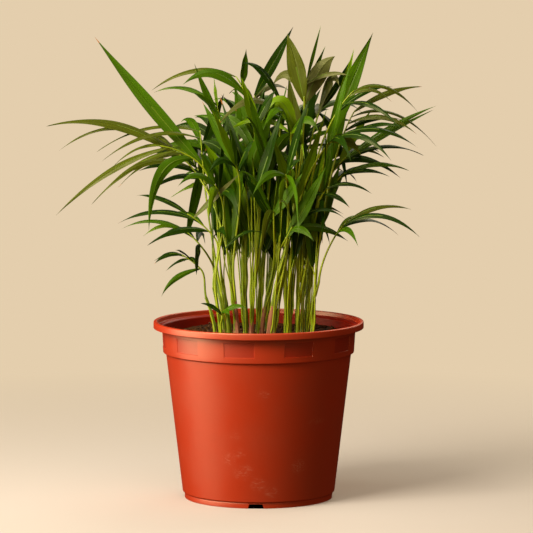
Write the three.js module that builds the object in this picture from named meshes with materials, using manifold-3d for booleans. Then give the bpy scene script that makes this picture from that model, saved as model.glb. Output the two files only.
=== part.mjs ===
// An areca palm, a clump of young stems, in a round plastic nursery pot.
// Millimetres. The origin is the middle of the pot's underside, +Z is up,
// +X is to the right and +Y is to the back.

import * as THREE from 'three';
import { mergeVertices } from 'three/addons/utils/BufferGeometryUtils.js';
import Module from 'manifold-3d';

const wasm = await Module();
wasm.setup();

// Pot
const SIDES = 40;
const WALL = 1.8;
const PAD_RADIUS = 20;
const FLOOR_LIFT = 4;
const FOOT_RADIUS = 78.9;
const FOOT_HEIGHT = 5;
const BODY_FOOT_RADIUS = 81.1;
const BODY_FOOT_Z = 7;
const BODY_TOP_RADIUS = 98.6;
const BODY_TOP_Z = 155.2;
const COLLAR_FOOT_RADIUS = 101.6;
const COLLAR_FOOT_Z = 156.2;
const COLLAR_TOP_RADIUS = 103.2;
const COLLAR_TOP_Z = 181;
const RIM_RADIUS = 112;
const RIM_INNER_RADIUS = 107.8;
const RIM_FOOT_Z = 182;
const RIM_WALL = 1.5;
const LEDGE_RADIUS = 107.2;
const LEDGE_DROP = 4.6;
const POT_HEIGHT = 189;

// Shallow panels pressed in round the collar, and drainage
const PANELS = 10;
const PANEL_START = -11.5;
const PANEL_ANGLE = 18;
const PANEL_DEPTH = 0.6;
const PANEL_BOTTOM_Z = 162.3;
const PANEL_TOP_Z = 177.3;
const NOTCHES = 4;
const NOTCH_START = -2;
const NOTCH_FOOT_WIDTH = 17.6;
const NOTCH_TOP_WIDTH = 14;
const NOTCH_HEIGHT = 4.7;
const NOTCH_DEPTH = 14;
const HOLES = 6;
const HOLE_RING_RADIUS = 56;
const HOLE_RADIUS = 4.5;
const HOLE_SIDES = 10;

// Soil
const GAP = 0.3;
const SOIL_Z = 173.4;
const SOIL_LEVEL_RADIUS = 70;
const SOIL_RINGS = 3;

// Stems: foot x and y, foot radius, how far the tip leans in x and y, height
const STEM_FOOT_Z = SOIL_Z + GAP;
const STEM_SIDES = 6;
const STEM_STEPS = 4;
const STEM_TIP_RADIUS = 1.9;
const STEMS = [
  [-46, 8, 2.3, -9, 1, 36],
  [-40, -15, 2.4, -7, -4, 50],
  [-37, 24, 2.4, -8, 6, 58],
  [-31, -2, 3.3, -7, -2, 56],
  [-24, 15, 2.9, -5, 2, 78],
  [-22, -20, 2.6, -6, -4, 64],
  [-14, 2, 2.7, -1, 0, 82],
  [-13, 30, 2.6, -3, 7, 70],
  [-8, -14, 2.9, 6, -3, 88],
  [-1, 14, 2.7, 5, 1, 76],
  [3, -2, 2.6, 12, -1, 68],
  [11, -16, 3.5, 14, -2, 84],
  [8, 34, 2.6, 4, 8, 66],
  [16, 12, 2.7, 7, 3, 60],
  [29, -10, 2.6, 0, -4, 56],
  [33, 18, 2.7, 2, 4, 72],
  [41, -4, 2.9, 2, -1, 82],
  [46, 24, 2.5, 3, 7, 60],
  [51, 6, 2.8, 3, 0, 76],
  [57, -12, 2.7, 4, -2, 68],
];

// Fronds. Each grows from a stem to its knee, where the leaflets start, and its rib goes on
// to its end. A leaflet row holds its tip x, y, z, its arch, its width, how far its face
// turns from the sky to the front in degrees, and where along its reach it bends.
// A frond without rows spreads pairs of leaflets of one reach, width and droop, and fill
// adds leaflets that stand up or hang down inside the crown.
const FRONDS = [
  { stem: 18, knee: [72, -6, 374], end: [73, -6, 379], leaves: [
    [101, 0, 479, -3, 12, 85],
    [121, -4, 496, 3, 17, 85],
  ] },
  { stem: 5, knee: [-71, -2, 353], end: [-98, 2, 376], leaves: [
    [-152, -64, 342, 14, 8, 40],
    [-225, 0, 396, 19, 10.5, 60],
    [-140, 66, 372, 14, 8, 30],
    [-213, 24, 368, 22, 5.5, 40],
  ] },
  { stem: 3, knee: [-69, -12, 363], end: [-103, -20, 377], leaves: [
    [-118, -44, 289, 23, 13, 60, 0.95],
    [-128, 42, 330, 12, 8, 35],
    [-171, -52, 316, 12, 6.5, 40],
    [-215, -14, 302, 13, 8, 50],
    [-158, 24, 348, 10, 6, 40],
  ] },
  { stem: 3, knee: [-59, 4, 355], end: [-62, 6, 391], fill: 2, leaves: [
    [-174, 10, 491, -3, 15, 80],
    [-48, -54, 270, 22, 13, 70, 0.9],
    [-84, 76, 395, 14, 9, 30],
    [-165, -26, 361, 16, 5.5, 40],
    [-173, 18, 367, 15, 5.5, 40],
  ] },
  { stem: 0, knee: [-62, 6, 244], end: [-82, 4, 259], leaves: [
    [-103, -22, 217, 6, 6.5, 50, 0.7],
    [-80, 38, 248, 6, 6, 30],
    [-88, -26, 267, 4, 5.5, 40],
    [-99, 18, 240, 3, 5, 40],
    [-112, 22, 250, 6, 5, 40],
    [-111, -8, 250, 6, 6.5, 45],
  ] },
  { stem: 1, knee: [-47, -16, 280], end: [-75, -20, 305], leaves: [
    [8, -80, 286, 10, 8, 45],
    [-117, -48, 274, 9, 8.5, 50],
    [-96, 26, 300, 8, 7, 40],
    [-149, -26, 295, 12, 7, 50],
    [-22, -50, 350, 0, 7, 80],
    [-129, -12, 324, 6, 6.5, 45],
  ] },
  { stem: 2, knee: [-62, 14, 268], end: [-80, 18, 284], leaves: [
    [-66, -6, 238, 6, 12, 75, 0.7],
    [-58, 84, 262, 13, 8, 30],
    [-104, 74, 272, 10, 8, 30],
    [-146, 22, 285, 12, 6, 45],
    [-56, 30, 372, 0, 12, 85],
    [-124, 38, 275, 9, 6.5, 40],
  ] },
  { stem: 6, knee: [-12, 0, 427], end: [-24, 2, 449], leaves: [
    [-80, -16, 441, 19, 12.5, 60],
    [-13, 5, 478, 0, 10, 88],
    [-114, 12, 433, 14, 6.5, 50],
  ] },
  { stem: 4, knee: [-41, 8, 400], end: [-44, 10, 418], fill: 1, leaves: [
    [-69, 5, 463, -3, 8, 85],
    [-52, 84, 404, 12, 9, 30],
    [-71, -8, 433, 3, 7, 60],
    [-86, 60, 400, 12, 8, 30],
    [-44, 18, 446, 0, 7, 85],
    [-112, 25, 430, 12, 6, 45],
  ] },
  { stem: 8, knee: [-2, -24, 393], end: [-3, -25, 398], leaves: [
    [-18, -30, 450, 0, 12, 80],
    [18, -44, 437, 4, 11, 75],
  ] },
  { stem: 9, knee: [-5, 14, 418], end: [-4, 14, 428], fill: 1, leaves: [
    [-32, 68, 426, 12, 8, 40],
    [34, 72, 428, 12, 8, 40],
    [37, 20, 501, 0, 11.5, 85],
  ] },
  { stem: 11, knee: [48, -14, 424], end: [48, -14, 429], leaves: [
    [30, -9, 495, 3, 19, 85],
    [13, 8, 436, 20, 12, 60],
  ] },
  { stem: 16, knee: [49, 8, 420], end: [51, 8, 446], leaves: [
    [81, 6, 470, 9, 19, 75],
    [56, 32, 467, 3, 7, 70],
    [71, 24, 480, 0, 6, 80],
    [98, -6, 450, 7, 6.5, 50],
    [66, 15, 502, 0, 4, 85],
  ] },
  { stem: 15, knee: [62, 20, 403], end: [66, 21, 414], fill: 1, leaves: [
    [70, 82, 408, 10, 9, 30],
    [84, 0, 438, 22, 13, 55, 0.6],
    [112, 70, 405, 12, 8, 30],
    [101, 26, 471, -4, 7, 75],
  ] },
  { stem: 10, knee: [23, 2, 398], end: [25, 2, 420], fill: 1, leaves: [
    [30, -22, 441, 2, 6, 75],
    [-34, -50, 400, 20, 10, 45],
    [-18, -14, 463, 14, 9, 60],
  ] },
  { stem: 14, knee: [34, -28, 388], end: [34, -29, 392], fill: 1, leaves: [
    [5, -60, 398, 26, 15, 20, 0.3],
    [48, -66, 366, 16, 10, 60],
    [64, -56, 392, 15, 10, 50],
  ] },
  { stem: 16, knee: [81, -18, 410], end: [100, -22, 435], leaves: [
    [130, 24, 438, 9, 6, 40],
    [148, -64, 398, 13, 6.5, 40],
    [140, -32, 424, 11, 5.5, 45],
    [169, -12, 411, 16, 5.5, 45],
  ] },
  { stem: 19, knee: [88, 6, 382], end: [102, 10, 412], leaves: [
    [154, -46, 398, 9, 6, 45],
    [154, 38, 400, 8, 6.5, 40],
    [167, -20, 389, 13, 6.5, 45],
    [190, 26, 372, 20, 5, 40],
    [174, 20, 437, 7, 7.5, 50],
  ] },
  { stem: 18, knee: [80, 14, 348], end: [93, 16, 362], fill: 2, leaves: [
    [124, 92, 362, 13, 8, 30],
    [178, 60, 360, 15, 6, 40],
    [187, 42, 411, 2, 6.5, 50],
    [189, 4, 418, 5, 6.5, 55],
  ] },
  { stem: 14, knee: [72, -30, 378], end: [84, -36, 388], fill: 1, leaves: [
    [96, -92, 366, 16, 9, 40],
    [108, -34, 368, 9, 12, 75],
    [138, -80, 366, 14, 8, 40],
    [167, -34, 376, 14, 7, 50],
  ] },
  { stem: 17, knee: [80, 26, 332], end: [92, 28, 344], fill: 2, leaves: [
    [118, 88, 328, 13, 8, 30],
    [125, 56, 342, 9, 7, 35],
    [139, -6, 343, 7, 6, 45],
    [161, 20, 347, 9, 6.5, 45],
  ] },
  { stem: 19, knee: [80, -20, 280], end: [92, -22, 296], leaves: [
    [104, -76, 276, 14, 7.5, 40],
    [114, 14, 296, 9, 6, 40],
    [150, 40, 276, 14, 7, 35],
    [170, -42, 282, 17, 7, 45],
    [162, -16, 309, 10, 6.5, 45],
  ] },
  { stem: 13, knee: [30, -34, 282], end: [36, -38, 294], fill: 1, leaves: [
    [74, -46, 366, -2, 15, 80],
    [58, -62, 280, 7, 8, 60],
    [91, -44, 302, 14, 6, 45],
  ] },
  { stem: 16, drop: 30, knee: [64, -14, 318], end: [72, -16, 332], fill: 3, leaves: [
    [67, -38, 274, 10, 13, 75, 0.7],
    [96, -40, 313, 5, 6, 45],
    [120, -22, 326, 8, 5.5, 45],
  ] },
  { stem: 11, knee: [29, -46, 344], end: [29, -47, 349], fill: 2, leaves: [
    [23, -66, 286, 14, 10, 70, 0.9],
    [-6, -74, 330, 12, 9, 50],
    [46, -64, 366, 3, 7, 70],
  ] },
  { stem: 8, knee: [12, -32, 348], end: [12, -33, 353], fill: 2, leaves: [
    [22, -40, 394, 0, 9.5, 80],
    [-6, -38, 402, 0, 11.5, 80],
  ] },
  { stem: 5, knee: [-22, -38, 352], end: [-24, -40, 358], fill: 3, leaves: [
    [-4, -64, 386, 6, 11, 65],
    [-52, -66, 352, 12, 10, 45],
    [-30, -52, 398, 3, 9, 75],
  ] },
  { stem: 1, knee: [-40, -40, 326], end: [-46, -44, 338], fill: 2, leaves: [
    [-20, -84, 306, 15, 10, 50],
    [-52, -80, 300, 15, 10, 55],
    [-84, -66, 338, 13, 8, 50],
    [-62, -50, 372, 5, 8, 70],
  ] },
  { stem: 1, drop: 38, knee: [-38, -28, 198], end: [-39, -30, 202], leaves: [
    [-61, -38, 212, 3, 6, 50],
    [-12, -40, 207, 5, 7, 50],
    [-30, -52, 200, 4, 6, 50],
  ] },
  { stem: 2, knee: [-58, 42, 335], end: [-70, 56, 352], pairs: 3, reach: 74, width: 9, droop: 0.35 },
  { stem: 4, knee: [-34, 52, 350], end: [-40, 72, 372], pairs: 3, reach: 82, width: 9, droop: 0.3 },
  { stem: 7, knee: [-16, 50, 330], end: [-22, 82, 352], pairs: 3, reach: 94, width: 9, droop: 0.4, fill: 1 },
  { stem: 7, knee: [-6, 48, 366], end: [-8, 66, 392], pairs: 3, reach: 76, width: 9, droop: 0.25 },
  { stem: 12, knee: [16, 54, 340], end: [20, 84, 362], pairs: 3, reach: 90, width: 9, droop: 0.4, fill: 1 },
  { stem: 12, knee: [24, 50, 300], end: [30, 82, 314], pairs: 2, reach: 84, width: 9, droop: 0.4, fill: 3 },
  { stem: 13, knee: [36, 42, 356], end: [42, 62, 380], pairs: 3, reach: 80, width: 9, droop: 0.3, fill: 1 },
  { stem: 17, knee: [60, 52, 338], end: [74, 76, 358], pairs: 3, reach: 86, width: 9, droop: 0.35 },
  { stem: 10, knee: [16, -42, 300], end: [16, -46, 310], fill: 1, leaves: [
    [-10, -66, 350, 0, 11, 80],
    [38, -70, 352, 0, 12, 80],
    [2, -78, 262, 16, 9, 60],
  ] },
];
const FROND_BASE_RADIUS = 1.5;
const FROND_KNEE_RADIUS = 1.15;
const FROND_END_RADIUS = 0.75;
const PETIOLE_STEPS = 6;
const RIB_STEPS = 2;
const SIDE_SHOOT_DROP = 9;
const LEAF_STEPS = 4;
const ARCHED_LEAF_STEPS = 5;
const ARCHED = 11;
const LEAF_END = 0.96;
const LEAF_THICKNESS = 0.0105;
const LEAF_FULLEST = 0.4;
const CLEARANCE = 0.5;
const TURNS = [0, 5, -5, 10, -10, 16, -16, 23, -23, 31, -31];
const TALL = 385;
const LIFTS = [0, 7, -7, 14];
const NUDGES = [0, 3, 6, 9, 12, 16, 20];

const radians = (degrees) => degrees * Math.PI / 180;
const add = (a, b) => [a[0] + b[0], a[1] + b[1], a[2] + b[2]];
const subtract = (a, b) => [a[0] - b[0], a[1] - b[1], a[2] - b[2]];
const scale = (a, k) => [a[0] * k, a[1] * k, a[2] * k];
const dot = (a, b) => a[0] * b[0] + a[1] * b[1] + a[2] * b[2];
const cross = (a, b) => [
  a[1] * b[2] - a[2] * b[1],
  a[2] * b[0] - a[0] * b[2],
  a[0] * b[1] - a[1] * b[0],
];
const size = (a) => Math.sqrt(dot(a, a));
const unit = (a) => scale(a, 1 / size(a));
const mix = (a, b, t) => add(scale(a, 1 - t), scale(b, t));
const clamp = (value) => Math.min(1, Math.max(0, value));

// A point round the pot: the angle is from the front, and grows to the right
const around = (degrees, radius, z) => {
  const angle = radians(degrees);
  return [radius * Math.sin(angle), -radius * Math.cos(angle), z];
};

// A closed skin over rings of points, each counter-clockwise seen from the end.
// A ring of one point is a tip or a pole, and an open ring at either end gets a flat cap.
// A twisted patch is split along its shorter diagonal, so both faces of a thin blade agree.
function skin(rings) {
  const points = rings.flat();
  const triangles = [];
  let start = 0;
  for (let i = 0; i + 1 < rings.length; i += 1) {
    const count = rings[i].length;
    const next = rings[i + 1].length;
    const after = start + count;
    for (let j = 0; j < Math.max(count, next); j += 1) {
      const a = start + (count > 1 ? j : 0);
      const b = start + (count > 1 ? (j + 1) % count : 0);
      const c = after + (next > 1 ? (j + 1) % next : 0);
      const d = after + (next > 1 ? j : 0);
      const crosswise = size(subtract(points[b], points[d])) < size(subtract(points[a], points[c]));
      if (count > 1 && next > 1 && crosswise) {
        triangles.push(a, b, d, b, c, d);
        continue;
      }
      if (count > 1) triangles.push(a, b, c);
      if (next > 1) triangles.push(a, c, d);
    }
    start = after;
  }
  for (let j = 1; j + 1 < rings[0].length; j += 1) triangles.push(0, j + 1, j);
  for (let j = 1; j + 1 < rings[rings.length - 1].length; j += 1) {
    triangles.push(start, start + j, start + j + 1);
  }
  return solid(points.flat(), triangles);
}

function solid(points, triangles) {
  return new wasm.Manifold(new wasm.Mesh({
    numProp: 3,
    vertProperties: new Float32Array(points),
    triVerts: new Uint32Array(triangles),
  }));
}

// A three.js geometry as a solid, without the flat triangles that merging leaves at a pole
function merged(geometry) {
  geometry.deleteAttribute('normal');
  geometry.deleteAttribute('uv');
  const shared = mergeVertices(geometry, 1e-4);
  const points = shared.attributes.position;
  const index = shared.index.array;
  const triangles = [];
  for (let i = 0; i < index.length; i += 3) {
    const corners = [index[i], index[i + 1], index[i + 2]];
    if (new Set(corners).size === 3) triangles.push(...corners);
  }
  return solid(Array.from(points.array), triangles);
}

// A profile of radius and height turned round the Z axis
function turned(profile) {
  const outline = profile.map(([radius, z]) => new THREE.Vector2(radius, z));
  const geometry = new THREE.LatheGeometry(outline, SIDES);
  geometry.rotateX(Math.PI / 2);
  geometry.rotateZ(radians(PANEL_START));
  return merged(geometry);
}

function ring(radius, height) {
  if (radius === 0) return [[0, 0, height(0, 0)]];
  return Array.from({ length: SIDES }, (_, i) => {
    const [x, y] = around(PANEL_START + 360 * i / SIDES, radius, 0);
    return [x, y, height(x, y)];
  });
}

const collarRadius = (z) => {
  const share = (z - COLLAR_FOOT_Z) / (COLLAR_TOP_Z - COLLAR_FOOT_Z);
  return COLLAR_FOOT_RADIUS + share * (COLLAR_TOP_RADIUS - COLLAR_FOOT_RADIUS);
};

// One pressed panel: a curved wedge from just outside the collar to the panel's bottom
function panel(middle) {
  const steps = Math.round(PANEL_ANGLE * SIDES / 360);
  const rings = [];
  for (let i = 0; i <= steps; i += 1) {
    const angle = middle + PANEL_ANGLE * (i / steps - 0.5);
    rings.push([
      around(angle, collarRadius(PANEL_BOTTOM_Z) - PANEL_DEPTH, PANEL_BOTTOM_Z),
      around(angle, collarRadius(PANEL_TOP_Z) - PANEL_DEPTH, PANEL_TOP_Z),
      around(angle, RIM_RADIUS, PANEL_TOP_Z),
      around(angle, RIM_RADIUS, PANEL_BOTTOM_Z),
    ]);
  }
  return skin(rings);
}

// One drainage notch: a trapezoid cut through the foot ring
function notch(middle) {
  const outline = new THREE.Shape([
    new THREE.Vector2(-NOTCH_FOOT_WIDTH / 2, -1),
    new THREE.Vector2(NOTCH_FOOT_WIDTH / 2, -1),
    new THREE.Vector2(NOTCH_TOP_WIDTH / 2, NOTCH_HEIGHT),
    new THREE.Vector2(-NOTCH_TOP_WIDTH / 2, NOTCH_HEIGHT),
  ]);
  const geometry = new THREE.ExtrudeGeometry(outline, { depth: NOTCH_DEPTH, bevelEnabled: false });
  geometry.rotateX(Math.PI / 2);
  geometry.translate(0, NOTCH_DEPTH / 2 - FOOT_RADIUS, 0);
  geometry.rotateZ(radians(middle));
  return merged(geometry);
}

// One round hole through the raised floor
function hole(middle) {
  const [x, y, z] = around(middle, HOLE_RING_RADIUS, FLOOR_LIFT + WALL / 2);
  const geometry = new THREE.CylinderGeometry(HOLE_RADIUS, HOLE_RADIUS, 2 * WALL, HOLE_SIDES);
  geometry.rotateX(Math.PI / 2);
  geometry.translate(x, y, z);
  return merged(geometry);
}

function pot() {
  const floor = FLOOR_LIFT + WALL;
  let body = turned([
    [0, 0],
    [PAD_RADIUS, 0],
    [PAD_RADIUS + 2, FLOOR_LIFT],
    [FOOT_RADIUS - 3.4, FLOOR_LIFT],
    [FOOT_RADIUS - 2, 0],
    [FOOT_RADIUS, 0],
    [FOOT_RADIUS + 0.2, FOOT_HEIGHT],
    [BODY_FOOT_RADIUS, BODY_FOOT_Z],
    [BODY_TOP_RADIUS, BODY_TOP_Z],
    [COLLAR_FOOT_RADIUS, COLLAR_FOOT_Z],
    [COLLAR_TOP_RADIUS, COLLAR_TOP_Z],
    [LEDGE_RADIUS + RIM_WALL, POT_HEIGHT - LEDGE_DROP - WALL],
    [LEDGE_RADIUS + RIM_WALL, POT_HEIGHT - RIM_WALL],
    [RIM_RADIUS - RIM_WALL, POT_HEIGHT - RIM_WALL],
    [RIM_RADIUS - RIM_WALL, RIM_FOOT_Z],
    [RIM_RADIUS, RIM_FOOT_Z],
    [RIM_RADIUS, POT_HEIGHT - 1],
    [RIM_RADIUS - 1, POT_HEIGHT],
    [RIM_INNER_RADIUS, POT_HEIGHT],
    [LEDGE_RADIUS, POT_HEIGHT - LEDGE_DROP],
    [COLLAR_TOP_RADIUS - 0.2, POT_HEIGHT - LEDGE_DROP - 0.4],
    [COLLAR_TOP_RADIUS - WALL, POT_HEIGHT - LEDGE_DROP - 2],
    [COLLAR_FOOT_RADIUS - WALL, COLLAR_FOOT_Z + WALL],
    [BODY_TOP_RADIUS - WALL, BODY_TOP_Z + 0.6],
    [BODY_FOOT_RADIUS - WALL, floor + 2],
    [BODY_FOOT_RADIUS - 2 * WALL, floor],
    [PAD_RADIUS + 1, floor],
    [PAD_RADIUS - 1, WALL],
    [0, WALL],
  ]);
  for (let i = 0; i < PANELS; i += 1) body = body.subtract(panel(PANEL_START + 360 * i / PANELS));
  for (let i = 0; i < NOTCHES; i += 1) body = body.subtract(notch(NOTCH_START + 360 * i / NOTCHES));
  for (let i = 0; i < HOLES; i += 1) body = body.subtract(hole(360 * (i + 0.5) / HOLES));
  return body;
}

// Height of the potting soil, which is level round the stems and uneven by the wall
const soilTop = (x, y) => {
  const share = clamp((Math.hypot(x, y) - SOIL_LEVEL_RADIUS) / 20);
  return SOIL_Z + share * (1.3 * Math.sin(x / 17 + 1) * Math.cos(y / 21) + 0.8 * Math.sin(x / 11 - y / 13));
};

function soil() {
  const floor = FLOOR_LIFT + WALL;
  const edge = collarRadius(SOIL_Z) - WALL - 2 * GAP;
  const sides = [
    [0, WALL + GAP],
    [PAD_RADIUS - 1.4, WALL + GAP],
    [PAD_RADIUS + 0.6, floor + GAP],
    [BODY_FOOT_RADIUS - 2 * WALL - 0.6, floor + GAP],
    [BODY_FOOT_RADIUS - WALL - 0.5, floor + 2.3],
    [BODY_TOP_RADIUS - WALL - 0.5, BODY_TOP_Z + 0.6],
    [COLLAR_FOOT_RADIUS - WALL - 0.5, COLLAR_FOOT_Z + WALL + 0.3],
  ].map(([radius, z]) => ring(radius, () => z));
  const top = Array.from({ length: SOIL_RINGS + 1 }, (_, i) => {
    return ring(edge * (1 - i / SOIL_RINGS), soilTop);
  });
  return skin([...sides, ...top]);
}

// A round limb along points. The first corner of its section faces the given side, and the
// cut at its foot may be given a direction of its own.
function tube(points, radii, sides, first, footAhead) {
  const rings = [];
  const last = points.length - 1;
  let side = first;
  points.forEach((point, i) => {
    const chord = subtract(points[Math.min(i + 1, last)], points[Math.max(i - 1, 0)]);
    const ahead = i === 0 && footAhead ? footAhead : unit(chord);
    side = unit(subtract(side, scale(ahead, dot(side, ahead))));
    const other = cross(ahead, side);
    rings.push(Array.from({ length: sides }, (_, j) => {
      const angle = 2 * Math.PI * j / sides;
      const spoke = add(scale(side, Math.cos(angle)), scale(other, Math.sin(angle)));
      return add(point, scale(spoke, radii[i]));
    }));
  });
  return skin(rings);
}

const bezier = (a, b, c, t) => mix(mix(a, b, t), mix(b, c, t), t);
const cubic = (a, b, c, d, t) => mix(bezier(a, b, c, t), bezier(b, c, d, t), t);

// A stem's middle, direction and radius at a share of its height
function stemAt([x, y, radius, leanX, leanY, height], t) {
  const foot = [x, y, STEM_FOOT_Z];
  const tip = [x + leanX, y + leanY, STEM_FOOT_Z + height];
  const bend = [x + 0.25 * leanX, y + 0.25 * leanY, STEM_FOOT_Z + 0.5 * height];
  return {
    point: bezier(foot, bend, tip, t),
    ahead: unit(mix(subtract(bend, foot), subtract(tip, bend), t)),
    radius: STEM_TIP_RADIUS + (radius - STEM_TIP_RADIUS) * (1 - t) ** 1.3,
  };
}

function stemCourse(stem) {
  const places = Array.from({ length: STEM_STEPS + 1 }, (_, i) => stemAt(stem, i / STEM_STEPS));
  return { points: places.map(({ point }) => point), radii: places.map(({ radius }) => radius) };
}

// Bodies already in place, as straight stretches. Each holds its two ends and the arms that
// reach from its middle line to its skin: vectors on a blade, one radius on a round limb.
const placed = [];

const armLength = (arm) => (Array.isArray(arm) ? size(arm) : arm);

function stretches(owner, points, arms) {
  const list = [];
  for (let i = 0; i + 1 < points.length; i += 1) {
    const middle = mix(points[i], points[i + 1], 0.5);
    const reach = size(subtract(points[i + 1], points[i])) / 2;
    const widest = Math.max(...[...arms[i], ...arms[i + 1]].map(armLength));
    list.push({
      owner,
      start: points[i],
      along: subtract(points[i + 1], points[i]),
      arms: [...arms[i], ...arms[i + 1]],
      middle,
      reach: reach + widest,
    });
  }
  return list;
}

// How far a stretch's skin reaches from its middle line along a direction
function reachAlong(stretch, direction) {
  let far = 0;
  for (const arm of stretch.arms) {
    far = Math.max(far, Array.isArray(arm) ? Math.abs(dot(arm, direction)) : arm);
  }
  return far;
}

// True where a plane square to the shortest line between two stretches parts them
function apart(one, two) {
  const offset = subtract(one.start, two.start);
  const near = size(subtract(one.middle, two.middle));
  if (near > one.reach + two.reach + CLEARANCE) return true;
  const aa = dot(one.along, one.along);
  const bb = dot(two.along, two.along);
  const ab = dot(one.along, two.along);
  const ao = dot(one.along, offset);
  const bo = dot(two.along, offset);
  const spread = aa * bb - ab * ab;
  let s = spread > 1e-9 ? clamp((ab * bo - ao * bb) / spread) : 0;
  let t = (ab * s + bo) / bb;
  if (t < 0) {
    t = 0;
    s = clamp(-ao / aa);
  } else if (t > 1) {
    t = 1;
    s = clamp((ab - ao) / aa);
  }
  const line = subtract(add(offset, scale(one.along, s)), scale(two.along, t));
  const distance = size(line);
  if (distance < CLEARANCE) return false;
  const direction = scale(line, 1 / distance);
  return distance > reachAlong(one, direction) + reachAlong(two, direction) + CLEARANCE;
}

const isClear = (list, friends) => list.every((one) => placed.every((two) => {
  return friends.includes(two.owner) || apart(one, two);
}));

// The same sequence of draws on every run
let state = 20;
function random() {
  state = (Math.imul(state, 1664525) + 1013904223) >>> 0;
  return state / 4294967296;
}

// Half width of a leaflet along its length, as a share of the fullest
function fullness(u) {
  if (u < LEAF_FULLEST) return 0.26 + 0.74 * Math.sin(u / LEAF_FULLEST * Math.PI / 2);
  return Math.cos((u - LEAF_FULLEST) / (1 - LEAF_FULLEST) * Math.PI / 2) ** 0.75;
}

// A leaflet's course from its root to its tip, with the arms of its thin blade
function leafCourse(root, [x, y, z, arch, width, face, bend = 0.5]) {
  const tip = [x, y, z];
  const over = mix(root, tip, bend);
  const control = [over[0], over[1], (root[2] + z) / 2 + 2 * arch];
  const flat = unit([x - root[0], y - root[1], 0]);
  const front = [flat[1], -flat[0], 0].map((value) => value * (flat[0] < 0 ? -1 : 1));
  const up = add([0, 0, Math.cos(radians(face))], scale(front, Math.sin(radians(face))));
  const legs = size(subtract(control, root)) + size(subtract(tip, control));
  const length = (legs + size(subtract(tip, root))) / 2;
  const steps = Math.abs(arch) > ARCHED ? ARCHED_LEAF_STEPS : LEAF_STEPS;
  const points = [];
  const arms = [];
  for (let i = 0; i <= steps; i += 1) {
    const u = i / steps;
    const ahead = unit(mix(subtract(control, root), subtract(tip, control), u));
    const across = unit(cross(ahead, up));
    const share = fullness(u);
    points.push(bezier(root, control, tip, u));
    arms.push([
      scale(across, 0.5 * width * share),
      scale(cross(ahead, across), LEAF_THICKNESS * length * Math.sqrt(share)),
    ]);
  }
  return { points, arms };
}

function leafSolid({ points, arms }) {
  const rings = points.map((point, i) => {
    const [across, down] = arms[i];
    const isTip = i === points.length - 1;
    return isTip ? [point] : [add(point, across), add(point, down), subtract(point, across)];
  });
  return skin(rings);
}

// A frond's petiole and rib. The first frond of a stem grows on from its tip and the second
// from its side, and a nudge bows the petiole sideways past its neighbours.
function frondCourse(frond, isSide, nudge) {
  const share = isSide ? 1 - (frond.drop ?? SIDE_SHOOT_DROP) / STEMS[frond.stem][5] : 1;
  const { point, ahead, radius } = stemAt(STEMS[frond.stem], share);
  const ribLength = size(subtract(frond.end, frond.knee));
  const ribBend = add(mix(frond.knee, frond.end, 0.5), [0, 0, 0.12 * ribLength]);
  const ribAhead = unit(subtract(ribBend, frond.knee));
  const towards = unit([frond.knee[0] - point[0], frond.knee[1] - point[1], 0]);
  const side = unit(subtract(towards, scale(ahead, dot(towards, ahead))));
  const step = isSide ? scale(side, radius + GAP + FROND_BASE_RADIUS) : scale(ahead, GAP);
  const start = add(point, step);
  const rise = size(subtract(frond.knee, start));
  const lower = add(add(start, scale(ahead, 0.35 * rise)), nudge);
  const upper = add(subtract(frond.knee, scale(ribAhead, 0.3 * rise)), nudge);
  const points = [];
  const radii = [];
  for (let i = 0; i <= PETIOLE_STEPS; i += 1) {
    const t = i / PETIOLE_STEPS;
    points.push(cubic(start, lower, upper, frond.knee, t));
    radii.push(FROND_BASE_RADIUS + (FROND_KNEE_RADIUS - FROND_BASE_RADIUS) * t);
  }
  const ribSteps = ribLength > 12 ? RIB_STEPS : 1;
  for (let i = 1; i <= ribSteps; i += 1) {
    const t = i / ribSteps;
    points.push(bezier(frond.knee, ribBend, frond.end, t));
    radii.push(FROND_KNEE_RADIUS + (FROND_END_RADIUS - FROND_KNEE_RADIUS) * t);
  }
  return { points, radii, first: scale(side, -1), ribBend };
}

// Leaflet rows for a frond that has none of its own: pairs that spread from the rib
function spreadRows(frond) {
  const ahead = unit(subtract(frond.end, frond.knee));
  const across = unit(cross(ahead, [0, 0, 1]));
  const count = 2 * frond.pairs + 1;
  return Array.from({ length: count }, (_, i) => {
    const share = i / (count - 1);
    const root = mix(frond.knee, frond.end, share);
    const angle = radians((66 - 50 * share) * (0.85 + 0.3 * random())) * (i % 2 ? 1 : -1);
    const fullest = 0.75 + 0.3 * Math.sin(Math.PI * (0.2 + 0.7 * share));
    const length = frond.reach * fullest * (0.88 + 0.24 * random());
    const out = add(scale(ahead, Math.cos(angle)), scale(across, Math.sin(angle)));
    const tip = add(root, scale(out, length));
    const arch = length * (0.1 + 0.1 * random());
    const width = frond.width * (0.8 + 0.4 * random());
    const face = 20 + 45 * random();
    return [tip[0], tip[1], tip[2] - frond.droop * length, arch, width, face];
  });
}

// Leaflet rows inside the crown, by turns standing up from the rib and hanging from it.
// On a tall frond they all hang.
function fillRows(frond) {
  return Array.from({ length: frond.fill ?? 0 }, (_, i) => {
    const root = mix(frond.knee, frond.end, random());
    const heading = 2 * Math.PI * random();
    const stands = i % 2 === 0 && frond.knee[2] < TALL;
    const slope = radians(stands ? 55 + 24 * random() : -40 - 25 * random());
    const length = 58 + 34 * random();
    const out = [Math.cos(heading) * Math.cos(slope), Math.sin(heading) * Math.cos(slope), Math.sin(slope)];
    const tip = add(root, scale(out, length));
    return [...tip, stands ? 2 : 14, 8.5 + 3.5 * random(), 60 + 25 * random(), stands ? 0.5 : 0.8];
  });
}

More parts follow.
